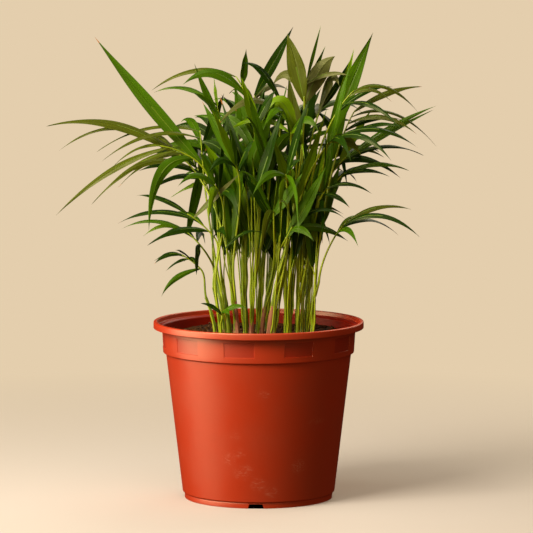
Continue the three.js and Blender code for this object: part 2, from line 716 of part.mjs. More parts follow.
// Turns a leaflet row about the upright line through its root and raises its tip
function turnedRow(root, row, degrees, lift) {
  const x = row[0] - root[0];
  const y = row[1] - root[1];
  const cosine = Math.cos(radians(degrees));
  const sine = Math.sin(radians(degrees));
  return [root[0] + x * cosine - y * sine, root[1] + x * sine + y * cosine, row[2] + lift, ...row.slice(3)];
}

// The first way up between its neighbours that a petiole finds
function clearFrond(frond, isSide, owner) {
  for (const nudge of NUDGES) {
    for (let i = 0; i < (nudge ? 8 : 1); i += 1) {
      const angle = Math.PI * i / 4;
      const course = frondCourse(frond, isSide, [nudge * Math.cos(angle), nudge * Math.sin(angle), 0]);
      const list = stretches(owner, course.points, course.radii.map((radius) => [radius]));
      if (isClear(list, [owner, `stem${frond.stem}`])) {
        placed.push(...list);
        return course;
      }
    }
  }
  throw new Error(`${owner} finds no way up between its neighbours`);
}

// The first way round its neighbours that a leaflet finds, or none
function clearLeaf(root, row, owner) {
  for (const lift of LIFTS) {
    for (const turn of TURNS) {
      const course = leafCourse(root, turnedRow(root, row, turn, lift));
      const list = stretches(owner, course.points, course.arms);
      if (isClear(list, [owner])) {
        placed.push(...list);
        return course;
      }
    }
  }
  return null;
}

const stemCourses = STEMS.map(stemCourse);
stemCourses.forEach((course, i) => {
  placed.push(...stretches(`stem${i}`, course.points, course.radii.map((radius) => [radius])));
});
const frondCourses = FRONDS.map((frond, i) => {
  const isSide = FRONDS.findIndex((other) => other.stem === frond.stem) < i;
  return clearFrond(frond, isSide, `frond${i}`);
});
const leafCourses = FRONDS.map((frond, i) => {
  const rows = [...(frond.leaves ?? spreadRows(frond)), ...fillRows(frond)];
  return rows.map((row, j) => {
    const own = rows.length - (frond.fill ?? 0);
    const share = LEAF_END * (j < own ? j / (own - 1) : (j - own + 1) / (rows.length - own + 1));
    const root = bezier(frond.knee, frondCourses[i].ribBend, frond.end, share);
    return clearLeaf(root, row, `frond${i}`);
  }).filter((course) => course !== null);
});

const LOOKS = {
  pot: new THREE.MeshStandardMaterial({ color: 0xb8432a, roughness: 0.5 }),
  soil: new THREE.MeshStandardMaterial({ color: 0x2a1a12, roughness: 0.95 }),
  stem: new THREE.MeshStandardMaterial({ color: 0x8fae3c, roughness: 0.5 }),
  frond: new THREE.MeshStandardMaterial({ color: 0x3c6b1f, roughness: 0.5 }),
};

const group = new THREE.Group();
group.name = 'areca_palm_in_pot';

function addNode(name, body, look) {
  const mesh = body.getMesh();
  const geometry = new THREE.BufferGeometry();
  geometry.setAttribute('position', new THREE.BufferAttribute(new Float32Array(mesh.vertProperties), 3));
  geometry.setIndex(new THREE.BufferAttribute(new Uint32Array(mesh.triVerts), 1));
  geometry.computeVertexNormals();
  const node = new THREE.Mesh(geometry, look);
  node.name = name;
  group.add(node);
}

const numbered = (word, i) => `${word}_${String(i + 1).padStart(2, '0')}`;

addNode('pot', pot(), LOOKS.pot);
addNode('soil', soil(), LOOKS.soil);
stemCourses.forEach(({ points, radii }, i) => {
  addNode(numbered('stem', i), tube(points, radii, STEM_SIDES, [1, 0, 0], [0, 0, 1]), LOOKS.stem);
});
frondCourses.forEach((course, i) => {
  const axis = tube(course.points, course.radii, 3, course.first);
  const body = wasm.Manifold.union([axis, ...leafCourses[i].map(leafSolid)]);
  addNode(numbered('frond', i), body.simplify(0.01), LOOKS.frond);
});

export default group;
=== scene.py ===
# An areca palm in a round plastic nursery pot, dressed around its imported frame.
# Sizes and places are in millimetres and become metres where a mesh is made. The origin
# is the middle of the pot's underside, +Z is up, +X is to the right and +Y is to the back.

import math

import bmesh
import bpy
import numpy as np
from mathutils import Euler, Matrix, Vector, noise


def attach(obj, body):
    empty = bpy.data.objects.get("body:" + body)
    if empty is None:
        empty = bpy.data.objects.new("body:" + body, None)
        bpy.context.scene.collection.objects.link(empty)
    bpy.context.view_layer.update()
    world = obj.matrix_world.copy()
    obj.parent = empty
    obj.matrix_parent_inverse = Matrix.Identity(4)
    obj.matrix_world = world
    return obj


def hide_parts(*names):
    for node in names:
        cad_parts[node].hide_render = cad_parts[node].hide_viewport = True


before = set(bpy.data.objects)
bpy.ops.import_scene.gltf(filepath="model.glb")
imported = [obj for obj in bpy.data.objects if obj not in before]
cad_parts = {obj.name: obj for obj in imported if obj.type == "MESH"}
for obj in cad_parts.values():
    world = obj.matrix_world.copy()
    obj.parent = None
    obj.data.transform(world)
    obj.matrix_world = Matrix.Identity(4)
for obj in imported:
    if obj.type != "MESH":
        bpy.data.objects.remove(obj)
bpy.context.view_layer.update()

MM = 0.001
GAP = 0.3

# Pot
WALL = 1.8
PAD_RADIUS = 20
FLOOR_LIFT = 4
FOOT_RADIUS = 78.9
FOOT_HEIGHT = 5
FOOT_RING = 2
BODY_FOOT_RADIUS = 81.1
BODY_FOOT_Z = 7
BODY_TOP_RADIUS = 98.6
BODY_TOP_Z = 155.2
COLLAR_FOOT_RADIUS = 101.6
COLLAR_FOOT_Z = 156.2
COLLAR_TOP_RADIUS = 103.2
COLLAR_TOP_Z = 181
RIM_RADIUS = 112
RIM_INNER_RADIUS = 107.8
RIM_FOOT_Z = 182
RIM_WALL = 1.5
LEDGE_RADIUS = 107.2
LEDGE_DROP = 4.6
POT_HEIGHT = 189
PANELS = 10
PANEL_START = -11.5
PANEL_ANGLE = 18
PANEL_DEPTH = 0.6
PANEL_BOTTOM_Z = 162.3
PANEL_TOP_Z = 177.3
PANEL_EDGE = 0.3
NOTCHES = 4
NOTCH_START = -2
NOTCH_FOOT_WIDTH = 17.6
NOTCH_TOP_WIDTH = 14
NOTCH_HEIGHT = 4.7
NOTCH_DEPTH = 14
HOLES = 6
HOLE_RING_RADIUS = 56
HOLE_RADIUS = 4.5

# Soil
SOIL_Z = 173.4
SOIL_LEVEL_RADIUS = 70
SOIL_RINGS = 70
SOIL_COLUMNS = 220
SOIL_ROUGHNESS = 1.5
CRUMBS = 1500
CRUMB_SMALLEST = 0.5
CRUMB_LARGEST = 2.3
SOIL_SEED = 5

# Stems: foot x and y, foot radius, how far the tip leans in x and y, height
STEM_FOOT_Z = SOIL_Z + GAP
STEM_STEPS = 4
STEM_TIP_RADIUS = 1.9
STEM_TAPER = 1.3
# How much of a stem's lean and of its height its bend has
STEM_BEND = (0.25, 0.5)
STEMS = [
    (-46, 8, 2.3, -9, 1, 36),
    (-40, -15, 2.4, -7, -4, 50),
    (-37, 24, 2.4, -8, 6, 58),
    (-31, -2, 3.3, -7, -2, 56),
    (-24, 15, 2.9, -5, 2, 78),
    (-22, -20, 2.6, -6, -4, 64),
    (-14, 2, 2.7, -1, 0, 82),
    (-13, 30, 2.6, -3, 7, 70),
    (-8, -14, 2.9, 6, -3, 88),
    (-1, 14, 2.7, 5, 1, 76),
    (3, -2, 2.6, 12, -1, 68),
    (11, -16, 3.5, 14, -2, 84),
    (8, 34, 2.6, 4, 8, 66),
    (16, 12, 2.7, 7, 3, 60),
    (29, -10, 2.6, 0, -4, 56),
    (33, 18, 2.7, 2, 4, 72),
    (41, -4, 2.9, 2, -1, 82),
    (46, 24, 2.5, 3, 7, 60),
    (51, 6, 2.8, 3, 0, 76),
    (57, -12, 2.7, 4, -2, 68),
]

# Fronds. Each grows from a stem to its knee, where the leaflets start, and its rib goes on
# to its end. A leaflet row holds its tip x, y, z, its arch, its width, how far its face
# turns from the sky to the front in degrees, and where along its reach it bends.
# A frond without rows spreads pairs of leaflets of one reach, width and droop, and fill
# adds leaflets that stand up or hang down inside the crown.
FRONDS = [
    dict(stem=18, knee=(72, -6, 374), end=(73, -6, 379), leaves=[
        (101, 0, 479, -3, 12, 85), (121, -4, 496, 3, 17, 85),
    ]),
    dict(stem=5, knee=(-71, -2, 353), end=(-98, 2, 376), leaves=[
        (-152, -64, 342, 14, 8, 40), (-225, 0, 396, 19, 10.5, 60), (-140, 66, 372, 14, 8, 30),
        (-213, 24, 368, 22, 5.5, 40),
    ]),
    dict(stem=3, knee=(-69, -12, 363), end=(-103, -20, 377), leaves=[
        (-118, -44, 289, 23, 13, 60, 0.95), (-128, 42, 330, 12, 8, 35),
        (-171, -52, 316, 12, 6.5, 40), (-215, -14, 302, 13, 8, 50), (-158, 24, 348, 10, 6, 40),
    ]),
    dict(stem=3, knee=(-59, 4, 355), end=(-62, 6, 391), fill=2, leaves=[
        (-174, 10, 491, -3, 15, 80), (-48, -54, 270, 22, 13, 70, 0.9), (-84, 76, 395, 14, 9, 30),
        (-165, -26, 361, 16, 5.5, 40), (-173, 18, 367, 15, 5.5, 40),
    ]),
    dict(stem=0, knee=(-62, 6, 244), end=(-82, 4, 259), leaves=[
        (-103, -22, 217, 6, 6.5, 50, 0.7), (-80, 38, 248, 6, 6, 30), (-88, -26, 267, 4, 5.5, 40),
        (-99, 18, 240, 3, 5, 40), (-112, 22, 250, 6, 5, 40), (-111, -8, 250, 6, 6.5, 45),
    ]),
    dict(stem=1, knee=(-47, -16, 280), end=(-75, -20, 305), leaves=[
        (8, -80, 286, 10, 8, 45), (-117, -48, 274, 9, 8.5, 50), (-96, 26, 300, 8, 7, 40),
        (-149, -26, 295, 12, 7, 50), (-22, -50, 350, 0, 7, 80), (-129, -12, 324, 6, 6.5, 45),
    ]),
    dict(stem=2, knee=(-62, 14, 268), end=(-80, 18, 284), leaves=[
        (-66, -6, 238, 6, 12, 75, 0.7), (-58, 84, 262, 13, 8, 30), (-104, 74, 272, 10, 8, 30),
        (-146, 22, 285, 12, 6, 45), (-56, 30, 372, 0, 12, 85), (-124, 38, 275, 9, 6.5, 40),
    ]),
    dict(stem=6, knee=(-12, 0, 427), end=(-24, 2, 449), leaves=[
        (-80, -16, 441, 19, 12.5, 60), (-13, 5, 478, 0, 10, 88), (-114, 12, 433, 14, 6.5, 50),
    ]),
    dict(stem=4, knee=(-41, 8, 400), end=(-44, 10, 418), fill=1, leaves=[
        (-69, 5, 463, -3, 8, 85), (-52, 84, 404, 12, 9, 30), (-71, -8, 433, 3, 7, 60),
        (-86, 60, 400, 12, 8, 30), (-44, 18, 446, 0, 7, 85), (-112, 25, 430, 12, 6, 45),
    ]),
    dict(stem=8, knee=(-2, -24, 393), end=(-3, -25, 398), leaves=[
        (-18, -30, 450, 0, 12, 80), (18, -44, 437, 4, 11, 75),
    ]),
    dict(stem=9, knee=(-5, 14, 418), end=(-4, 14, 428), fill=1, leaves=[
        (-32, 68, 426, 12, 8, 40), (34, 72, 428, 12, 8, 40), (37, 20, 501, 0, 11.5, 85),
    ]),
    dict(stem=11, knee=(48, -14, 424), end=(48, -14, 429), leaves=[
        (30, -9, 495, 3, 19, 85), (13, 8, 436, 20, 12, 60),
    ]),
    dict(stem=16, knee=(49, 8, 420), end=(51, 8, 446), leaves=[
        (81, 6, 470, 9, 19, 75), (56, 32, 467, 3, 7, 70), (71, 24, 480, 0, 6, 80),
        (98, -6, 450, 7, 6.5, 50), (66, 15, 502, 0, 4, 85),
    ]),
    dict(stem=15, knee=(62, 20, 403), end=(66, 21, 414), fill=1, leaves=[
        (70, 82, 408, 10, 9, 30), (84, 0, 438, 22, 13, 55, 0.6), (112, 70, 405, 12, 8, 30),
        (101, 26, 471, -4, 7, 75),
    ]),
    dict(stem=10, knee=(23, 2, 398), end=(25, 2, 420), fill=1, leaves=[
        (30, -22, 441, 2, 6, 75), (-34, -50, 400, 20, 10, 45), (-18, -14, 463, 14, 9, 60),
    ]),
    dict(stem=14, knee=(34, -28, 388), end=(34, -29, 392), fill=1, leaves=[
        (5, -60, 398, 26, 15, 20, 0.3), (48, -66, 366, 16, 10, 60), (64, -56, 392, 15, 10, 50),
    ]),
    dict(stem=16, knee=(81, -18, 410), end=(100, -22, 435), leaves=[
        (130, 24, 438, 9, 6, 40), (148, -64, 398, 13, 6.5, 40), (140, -32, 424, 11, 5.5, 45),
        (169, -12, 411, 16, 5.5, 45),
    ]),
    dict(stem=19, knee=(88, 6, 382), end=(102, 10, 412), leaves=[
        (154, -46, 398, 9, 6, 45), (154, 38, 400, 8, 6.5, 40), (167, -20, 389, 13, 6.5, 45),
        (190, 26, 372, 20, 5, 40), (174, 20, 437, 7, 7.5, 50),
    ]),
    dict(stem=18, knee=(80, 14, 348), end=(93, 16, 362), fill=2, leaves=[
        (124, 92, 362, 13, 8, 30), (178, 60, 360, 15, 6, 40), (187, 42, 411, 2, 6.5, 50),
        (189, 4, 418, 5, 6.5, 55),
    ]),
    dict(stem=14, knee=(72, -30, 378), end=(84, -36, 388), fill=1, leaves=[
        (96, -92, 366, 16, 9, 40), (108, -34, 368, 9, 12, 75), (138, -80, 366, 14, 8, 40),
        (167, -34, 376, 14, 7, 50),
    ]),
    dict(stem=17, knee=(80, 26, 332), end=(92, 28, 344), fill=2, leaves=[
        (118, 88, 328, 13, 8, 30), (125, 56, 342, 9, 7, 35), (139, -6, 343, 7, 6, 45),
        (161, 20, 347, 9, 6.5, 45),
    ]),
    dict(stem=19, knee=(80, -20, 280), end=(92, -22, 296), leaves=[
        (104, -76, 276, 14, 7.5, 40), (114, 14, 296, 9, 6, 40), (150, 40, 276, 14, 7, 35),
        (170, -42, 282, 17, 7, 45), (162, -16, 309, 10, 6.5, 45),
    ]),
    dict(stem=13, knee=(30, -34, 282), end=(36, -38, 294), fill=1, leaves=[
        (74, -46, 366, -2, 15, 80), (58, -62, 280, 7, 8, 60), (91, -44, 302, 14, 6, 45),
    ]),
    dict(stem=16, drop=30, knee=(64, -14, 318), end=(72, -16, 332), fill=3, leaves=[
        (67, -38, 274, 10, 13, 75, 0.7), (96, -40, 313, 5, 6, 45), (120, -22, 326, 8, 5.5, 45),
    ]),
    dict(stem=11, knee=(29, -46, 344), end=(29, -47, 349), fill=2, leaves=[
        (23, -66, 286, 14, 10, 70, 0.9), (-6, -74, 330, 12, 9, 50), (46, -64, 366, 3, 7, 70),
    ]),
    dict(stem=8, knee=(12, -32, 348), end=(12, -33, 353), fill=2, leaves=[
        (22, -40, 394, 0, 9.5, 80), (-6, -38, 402, 0, 11.5, 80),
    ]),
    dict(stem=5, knee=(-22, -38, 352), end=(-24, -40, 358), fill=3, leaves=[
        (-4, -64, 386, 6, 11, 65), (-52, -66, 352, 12, 10, 45), (-30, -52, 398, 3, 9, 75),
    ]),
    dict(stem=1, knee=(-40, -40, 326), end=(-46, -44, 338), fill=2, leaves=[
        (-20, -84, 306, 15, 10, 50), (-52, -80, 300, 15, 10, 55), (-84, -66, 338, 13, 8, 50),
        (-62, -50, 372, 5, 8, 70),
    ]),
    dict(stem=1, drop=38, knee=(-38, -28, 198), end=(-39, -30, 202), leaves=[
        (-61, -38, 212, 3, 6, 50), (-12, -40, 207, 5, 7, 50), (-30, -52, 200, 4, 6, 50),
    ]),
    dict(stem=2, knee=(-58, 42, 335), end=(-70, 56, 352), pairs=3, reach=74, width=9, droop=0.35),
    dict(stem=4, knee=(-34, 52, 350), end=(-40, 72, 372), pairs=3, reach=82, width=9, droop=0.3),
    dict(stem=7, knee=(-16, 50, 330), end=(-22, 82, 352), pairs=3, reach=94, width=9, droop=0.4, fill=1),
    dict(stem=7, knee=(-6, 48, 366), end=(-8, 66, 392), pairs=3, reach=76, width=9, droop=0.25),
    dict(stem=12, knee=(16, 54, 340), end=(20, 84, 362), pairs=3, reach=90, width=9, droop=0.4, fill=1),
    dict(stem=12, knee=(24, 50, 300), end=(30, 82, 314), pairs=2, reach=84, width=9, droop=0.4, fill=3),
    dict(stem=13, knee=(36, 42, 356), end=(42, 62, 380), pairs=3, reach=80, width=9, droop=0.3, fill=1),
    dict(stem=17, knee=(60, 52, 338), end=(74, 76, 358), pairs=3, reach=86, width=9, droop=0.35),
    dict(stem=10, knee=(16, -42, 300), end=(16, -46, 310), fill=1, leaves=[
        (-10, -66, 350, 0, 11, 80), (38, -70, 352, 0, 12, 80), (2, -78, 262, 16, 9, 60),
    ]),
]
FROND_BASE_RADIUS = 1.5
FROND_KNEE_RADIUS = 1.15
FROND_END_RADIUS = 0.75
PETIOLE_STEPS = 6
# How far a petiole goes on straight at its foot and comes in straight at its knee
PETIOLE_FOOT_REACH = 0.35
PETIOLE_KNEE_REACH = 0.3
RIB_STEPS = 2
RIB_ARCH = 0.12
SHORT_RIB = 12
SIDE_SHOOT_DROP = 9
LEAF_STEPS = 4
ARCHED_LEAF_STEPS = 5
ARCHED = 11
LEAF_END = 0.96
LEAF_THICKNESS = 0.0105
LEAF_FULLEST = 0.4
LEAF_ROOT = 0.26
LEAF_TAPER = 0.75
CLEARANCE = 0.5
TURNS = (0, 5, -5, 10, -10, 16, -16, 23, -23, 31, -31)
TALL = 385
LIFTS = (0, 7, -7, 14)
NUDGES = (0, 3, 6, 9, 12, 16, 20)
NUDGE_WAYS = 8
RULE_SEED = 20

# Finer stems and stalks. Each stem sinks into the soil, laps over the foot of its frond and
# is wrapped in sheaths, whose mouths are given as shares of its height.
STEM_SEED = 31
STEM_SIDES = 20
STEM_STATIONS = 56
STEM_SUNK = 3
STEM_LAP = 3.5
STEM_SLIMNESS = 0.76
STEM_FLARE = 0.6
STEM_FLARE_HEIGHT = 2.5
STEM_FLUTES = 7
STEM_FLUTE_DEPTH = 0.07
SHEATH_MOUTHS = (0.34, 0.68)
SHEATH_SHIFT = 0.06
SHEATH_SLANT = 2.2
SHEATH_STEP = 0.2
SHEATH_EDGE = 0.7
SHEATH_SWELL = 0.18
SHEATH_SWELL_HEIGHT = 3
# Stems whose lowest sheath is dead, counted from 0, and how high it reaches
DRY_SHEATHS = {5: 55, 8: 15, 10: 27, 11: 30}
DRY_THICKNESS = 0.15
DRY_RAGGEDNESS = 3.5
STALK_SIDES = 10
STALK_STATIONS = 26
STALK_COLLAR = 1.6
STALK_SWELL = 0.3
STALK_SWELL_FADE = 14
STALK_OVAL = 0.05
STALK_TIP = 0.6
STALK_SUNK = 12
SIDE_SUNK = 16
SIDE_DEPTH = 1.2
PETIOLE_SLIMNESS = 0.8
CHANNEL_DEPTH = 0.22
CHANNEL_ANGLE = 0.5
RIB_STATIONS = 8

# Finer blades. A section is a row of shares of the half width, from margin to margin.
BLADE_STATION = 6.5
BLADE_FEWEST_STATIONS = 12
# The higher, the closer its stations lie together towards the tip
BLADE_CROWDING = 1.15
BLADE_THICKNESS = 0.34
BLADE_MARGIN = 0.12
BLADE_TAPER = 1.25
BLADE_ROOT = 0.2
BLADE_ROOT_REACH = 0.25
BLADE_ROOT_THICKENS = 1.6
BLADE_ROOT_SUNK = 0.4
WIDE_BLADE = 7.5
WIDE_SECTION = (-1, -0.74, -0.48, -0.24, -0.06, 0.06, 0.24, 0.48, 0.74, 1)
NARROW_SECTION = (-1, -0.5, -0.1, 0.1, 0.5, 1)
PLEAT_DEPTH = 0.016
# Where along a blade its pleats rise to their depth, and fall from it
PLEATS_RISE = (0.03, 0.3)
PLEATS_FALL = (1, 0.6)
MARGIN_WAVE = 0.04
MARGIN_WAVES = (1.5, 3)
# A leaf with less arch stands up. It is cupped where others fold down, and twists less.
UPRIGHT_ARCH = 4
UPRIGHT_FOLDS = (-0.3, -0.1)
UPRIGHT_TWIST = 0.15
ARCHED_FOLDS = (0.15, 0.4)
ARCHED_TWIST = 0.4
RIB_SHOWS = 0.45
DRY_TIP_SHARE = 0.15
DRY_TIP_FROM = (0.9, 0.965)

# Slim leaflets between the source's own, with the ranges that they are drawn from
FINER_SEED = 77
FINER_PER_FROND = 5
FINER_FROM_Z = 255
FINER_THICKNESS = 0.004
FINER_SHARES = (0.05, 0.9)
FINER_WAYS = (30, 120)
FINER_SLOPES = (-20, 60)
FINER_LENGTHS = (60, 110)
FINER_ARCHES = (0.08, 0.22)
FINER_WIDTHS = (5.5, 9)
FINER_FACES = (30, 80)

# Young fronds of two upright leaves beside each stem, with the ranges they are drawn from
YOUNG_SEED = 12
YOUNG_PER_STEM = 80
YOUNG_GIRTH = 0.65
# How much of its width a young leaf keeps clear of its neighbours, so that margins may touch
YOUNG_SLIMNESS = 0.4
YOUNG_NUDGES = (0, 2)
YOUNG_RISES = (6, 110)
YOUNG_LEANS = (0.05, 0.3)
YOUNG_STRAYS = (-7, 7)
YOUNG_DROPS = (0.08, 0.85)
YOUNG_HEADINGS = (-45, 45)
YOUNG_SLOPES = (60, 84)
YOUNG_OUTWARD = 0.11
YOUNG_LENGTHS = (62, 112)
YOUNG_WIDTHS = (10, 16)
YOUNG_ARCHES = (-0.02, 0.06)
YOUNG_FACE = 85
YOUNG_RIB = 4
CLUMP_MIDDLE = (5, 5)
# Left side, right side and height of the crown's dense middle, at its bottom and its top
CROWN_BOTTOM = (-48, 62, 190)
CROWN_TOP = (-62, 100, 432)
CROWN_DEPTH = 85
# Finer fronds that can be made out in the photograph, which start this far under a stem's tip
SEEN_DROP = 20
SEEN_FRONDS = [
    dict(stem=5, knee=(-37, -42, 268), end=(-37, -44, 272), leaves=[
        (8, -48, 286, 11, 6, 30),
    ]),
    dict(stem=15, knee=(44, 30, 368), end=(44, 30, 372), leaves=[
        (32, 34, 446, 1, 16, 85),
        (60, 36, 440, 5, 15, 80),
    ]),
    dict(stem=6, knee=(-10, 12, 372), end=(-10, 12, 376), leaves=[
        (-24, 20, 440, 2, 13, 85),
        (6, 18, 436, 4, 13, 80),
    ]),
    dict(stem=18, knee=(72, 30, 346), end=(72, 30, 350), leaves=[
        (94, 34, 408, 8, 12, 80),
    ]),
    dict(stem=11, knee=(39, -25, 392), end=(39, -25, 396), leaves=[
        (7, -37, 393, 28, 18, 60),
    ]),
]

# Finer pot and soil
POT_COLUMNS_PER_PANEL = 20
# Keeps the finer rim inside the box round the source's coarser one
RIM_INSET = 0.15
ARC_STEPS = 4
HOLE_SIDES = 40
# Lumps of the loose soil, from broad ones to grit: height, width and place in the noise
SOIL_LUMPS = [(0.9, 14, 3.1), (0.6, 4.2, 7.7), (0.3, 1.7, 1.3)]
# The higher, the more of the crumbs are small
CRUMB_FINENESS = 2.6
CRUMB_STRETCH = ((0.8, 1.5), (0.7, 1.1), (0.5, 0.9))
CRUMB_LIFT = (-0.2, 0.35)
CRUMB_LUMPS = 0.55
CRUMB_NOISE_SCALE = 1.7
CRUMB_NOISE_STEP = 3.1
# Edges are sharp from these angles up
SHARP_POT = 40
SHARP_SOIL = 60
SHARP_CRUMBS = 45
SHARP_STEM = 50
SHARP_STALK = 60
SHARP_LEAF = 50


def rgb(red, green, blue):
    """A linear colour from one given as it shows on a screen, from 0 to 255"""
    def linear(value):
        share = value / 255
        return share / 12.92 if share <= 0.04045 else ((share + 0.055) / 1.055) ** 2.4

    return (linear(red), linear(green), linear(blue), 1)


# Looks of the pot. Its faces take them by number, in this order.
POT_LOOK = 0
PANEL_PAINTED_SHADE_LOOK = 1
INSIDE_PAINTED_SHADE_LOOK = 2
POT_COLOUR = rgb(203, 51, 9)
# The pressed panels take a darker, redder colour: painted shade in their shallow recesses
POT_PANEL_PAINTED_SHADE_COLOUR = rgb(185, 37, 6)
# The inside of the pot takes a darker red: painted shade
POT_INSIDE_PAINTED_SHADE_COLOUR = rgb(150, 27, 7)
POT_SPECULAR = 1
POT_INSIDE_SPECULAR = 0.15
POT_GLOSS_TINT = (1, 0.8, 0.5, 1)
POT_REFRACTION = 1.75
POT_ROUGHNESS = (0.38, 0.48)
SCUFF_COLOUR = rgb(226, 150, 118)
# Rubbed marks on the front: middle x and z, half width, half height and strength
SCUFFS = [
    (6, 123, 10, 4, 0.7),
    (-24, 77, 7, 6, 0.45),
    (-20, 60, 8, 7, 0.4),
    (-31, 53, 9, 9, 0.5),
    (-16, 40, 13, 11, 0.6),
    (0, 27, 10, 10, 0.55),
    (14, 18, 10, 7, 0.6),
    (42, 44, 9, 9, 0.6),
    (62, 91, 12, 4, 0.5),
]

# Looks of the soil
SOIL_LIGHT = rgb(112, 70, 32)
SOIL_DARK = rgb(46, 25, 8)
SOIL_SPECULAR = 0.1
CRUMB_LIGHT = rgb(136, 92, 46)
CRUMB_DARK = rgb(64, 42, 24)
CRUMB_BARK_SHARE = 0.12

# Looks of the palm
STEM_LIGHT = rgb(190, 204, 28)
STEM_DARK = rgb(54, 88, 4)
STEM_ROUGHNESS = 0.42
SHEATH_LIGHT = rgb(206, 138, 96)
SHEATH_DARK = rgb(122, 66, 40)
STALK_LIGHT = rgb(200, 210, 30)
STALK_DARK = rgb(108, 140, 8)
STALK_ROUGHNESS = 0.36
RIB_LIGHT = rgb(128, 152, 26)
RIB_DARK = rgb(88, 118, 12)
RIB_ROUGHNESS = 0.4
TIP_LIGHT = rgb(204, 132, 48)
TIP_DARK = rgb(134, 76, 22)
DRY_ROUGHNESS = 0.8
LEAF_UPPER_ROUGHNESS = 0.38
LEAF_UNDER_ROUGHNESS = 0.5
LEAF_SPECULAR = 0.26
LEAF_GLOSS_TINT = (1, 0.96, 0.5, 1)
LEAF_THROUGH = 0.08
LEAF_THROUGH_TINT = (1, 1, 0.6)
LEAF_THROUGH_DEPTH = 0.8
# Greens of leaves: name, upper face and under face
LEAF_GREENS = [
    ("deep", rgb(31, 61, 2), rgb(58, 88, 6)),
    ("mid", rgb(68, 106, 3), rgb(96, 130, 10)),
    ("fresh", rgb(110, 146, 5), rgb(134, 164, 14)),
    ("olive", rgb(80, 90, 10), rgb(100, 112, 16)),
    # The grey upper face is a painted sheen; its under face is a plain green
    ("grey", rgb(98, 102, 48), rgb(84, 106, 18)),
]
RIB_LOOK = 2 * len(LEAF_GREENS)
DRY_LOOK = RIB_LOOK + 1
# Greens that can be made out in the photograph, by frond, with the first letter of a green's
# name for each leaf. The seen finer fronds are counted on from the source's own.
# These greens are partly the leaves' own and partly painted light: leaves lying in shade take darker
# greens, lit ones paler, and g gives the grey with a painted sheen on top
GREENS_WITH_PAINTED_LIGHT_SEEN = {
    1: "fm", 2: "oooo", 3: "moooo", 4: "m--oo", 5: "mddddd", 6: "-dmdgd", 7: "dddmm",
    8: "mmo", 9: "mmf", 10: "f", 11: "ogd", 12: "og", 13: "gmmgm", 14: "og-dd", 15: "mgd",
    16: "m", 17: "ddoo", 18: "ddooo", 19: "--mmf", 20: "d-ddm", 21: "d-dmd", 22: "m-ddo",
    23: "m-d", 24: "dd-dm", 25: "f", 26: "mm", 28: "d", 37: "g", 38: "dm-f", 39: "d",
    40: "od", 41: "md", 43: "f",
}
# Leaves whose brown tips can be made out there, by frond and place in it
DRY_TIPS_SEEN = [(39, 0), (6, 1), (6, 3), (7, 3), (18, 4), (24, 0)]
# How the greens are dealt out to the other leaves: where each one's share ends
UPRIGHT_SHARES = (0.36, 0.74, 0.95, 1)
ARCHED_SHARES = (0.42, 0.84, 0.93, 1)
SHADE_SEED = 3

# Stage, in metres and watts
FLOOR_COLOUR = rgb(208, 200, 190)
FLOOR_GLOW_COLOUR = rgb(228, 206, 173)
FLOOR_GLOW_NEAR = 0.12
FLOOR_GLOW_FROM = 0.25
FLOOR_GLOW_TO = 1
FLOOR_RADIUS = 40
FLOOR_SIDES = 96
FLOOR_ROUGHNESS = 0.9
BLACK = (0, 0, 0, 1)
WORLD_COLOUR = (1, 0.7, 0.36, 1)
WORLD_STRENGTH = 0.145
LIGHT_TARGET = (0, 0, 0.25)
# Lights: name, azimuth, elevation, distance, width, power and colour
LIGHTS = [
    ("key", -46, 34, 1.6, 0.8, 32, (1, 0.9, 0.76)),
    ("side", -78, 2, 1.5, 1.2, 18, (1, 0.9, 0.78)),
    ("top", -20, 75, 1.8, 1.0, 6, (1, 0.94, 0.86)),
    ("front", 20, 20, 2.0, 1.0, 3, (1, 0.6, 0.38)),
    ("back", 148, 38, 2.0, 1.4, 14, (1, 0.92, 0.8)),
]

# Camera, whose place is in millimetres
CAMERA_SENSOR = 36
CAMERA_LENS = 255.8
CAMERA_REACH = 200
CAMERA_DISTANCE = 4023.8
CAMERA_ELEVATION = 6.24
CAMERA_TARGET = (8.4, 0, 247)


def radians(degrees):
    return degrees * math.pi / 180


def vec(*values):
    return np.array(values, float)


def size(a):
    return math.sqrt(a @ a)


def unit(a):
    return a / size(a)


def units(rows):
    return rows / np.linalg.norm(rows, axis=-1, keepdims=True)


def mix(a, b, t):
    return a * (1 - t) + b * t


def bezier(a, b, c, t):
    return mix(mix(a, b, t), mix(b, c, t), t)


def cubic(a, b, c, d, t):
    return mix(bezier(a, b, c, t), bezier(b, c, d, t), t)


def smooth(low, high, value):
    share = np.clip((value - low) / (high - low), 0, 1)
    return share * share * (3 - 2 * share)


def around(degrees, radius, z):
    """A point round the pot. The angle is from the front, and grows to the right."""
    angle = radians(degrees)
    return vec(radius * math.sin(angle), -radius * math.cos(angle), z)


# Draws of the source's rule, the same on every run


class Draws:
    def __init__(self, state):
        self.state = state

    def draw(self):
        self.state = (self.state * 1664525 + 1013904223) % 4294967296
        return self.state / 4294967296

    def between(self, low, high):
        return low + (high - low) * self.draw()


# The source's rule: where stems, petioles and leaflets go


def stem_at(stem, t):
    """A stem's middle, direction and radius at a share of its height"""
    x, y, radius, lean_x, lean_y, height = stem
    foot = vec(x, y, STEM_FOOT_Z)
    tip = vec(x + lean_x, y + lean_y, STEM_FOOT_Z + height)
    leans, rises = STEM_BEND
    bend = vec(x + leans * lean_x, y + leans * lean_y, STEM_FOOT_Z + rises * height)
    point = bezier(foot, bend, tip, t)
    ahead = unit(mix(bend - foot, tip - bend, t))
    return point, ahead, STEM_TIP_RADIUS + (radius - STEM_TIP_RADIUS) * (1 - t) ** STEM_TAPER


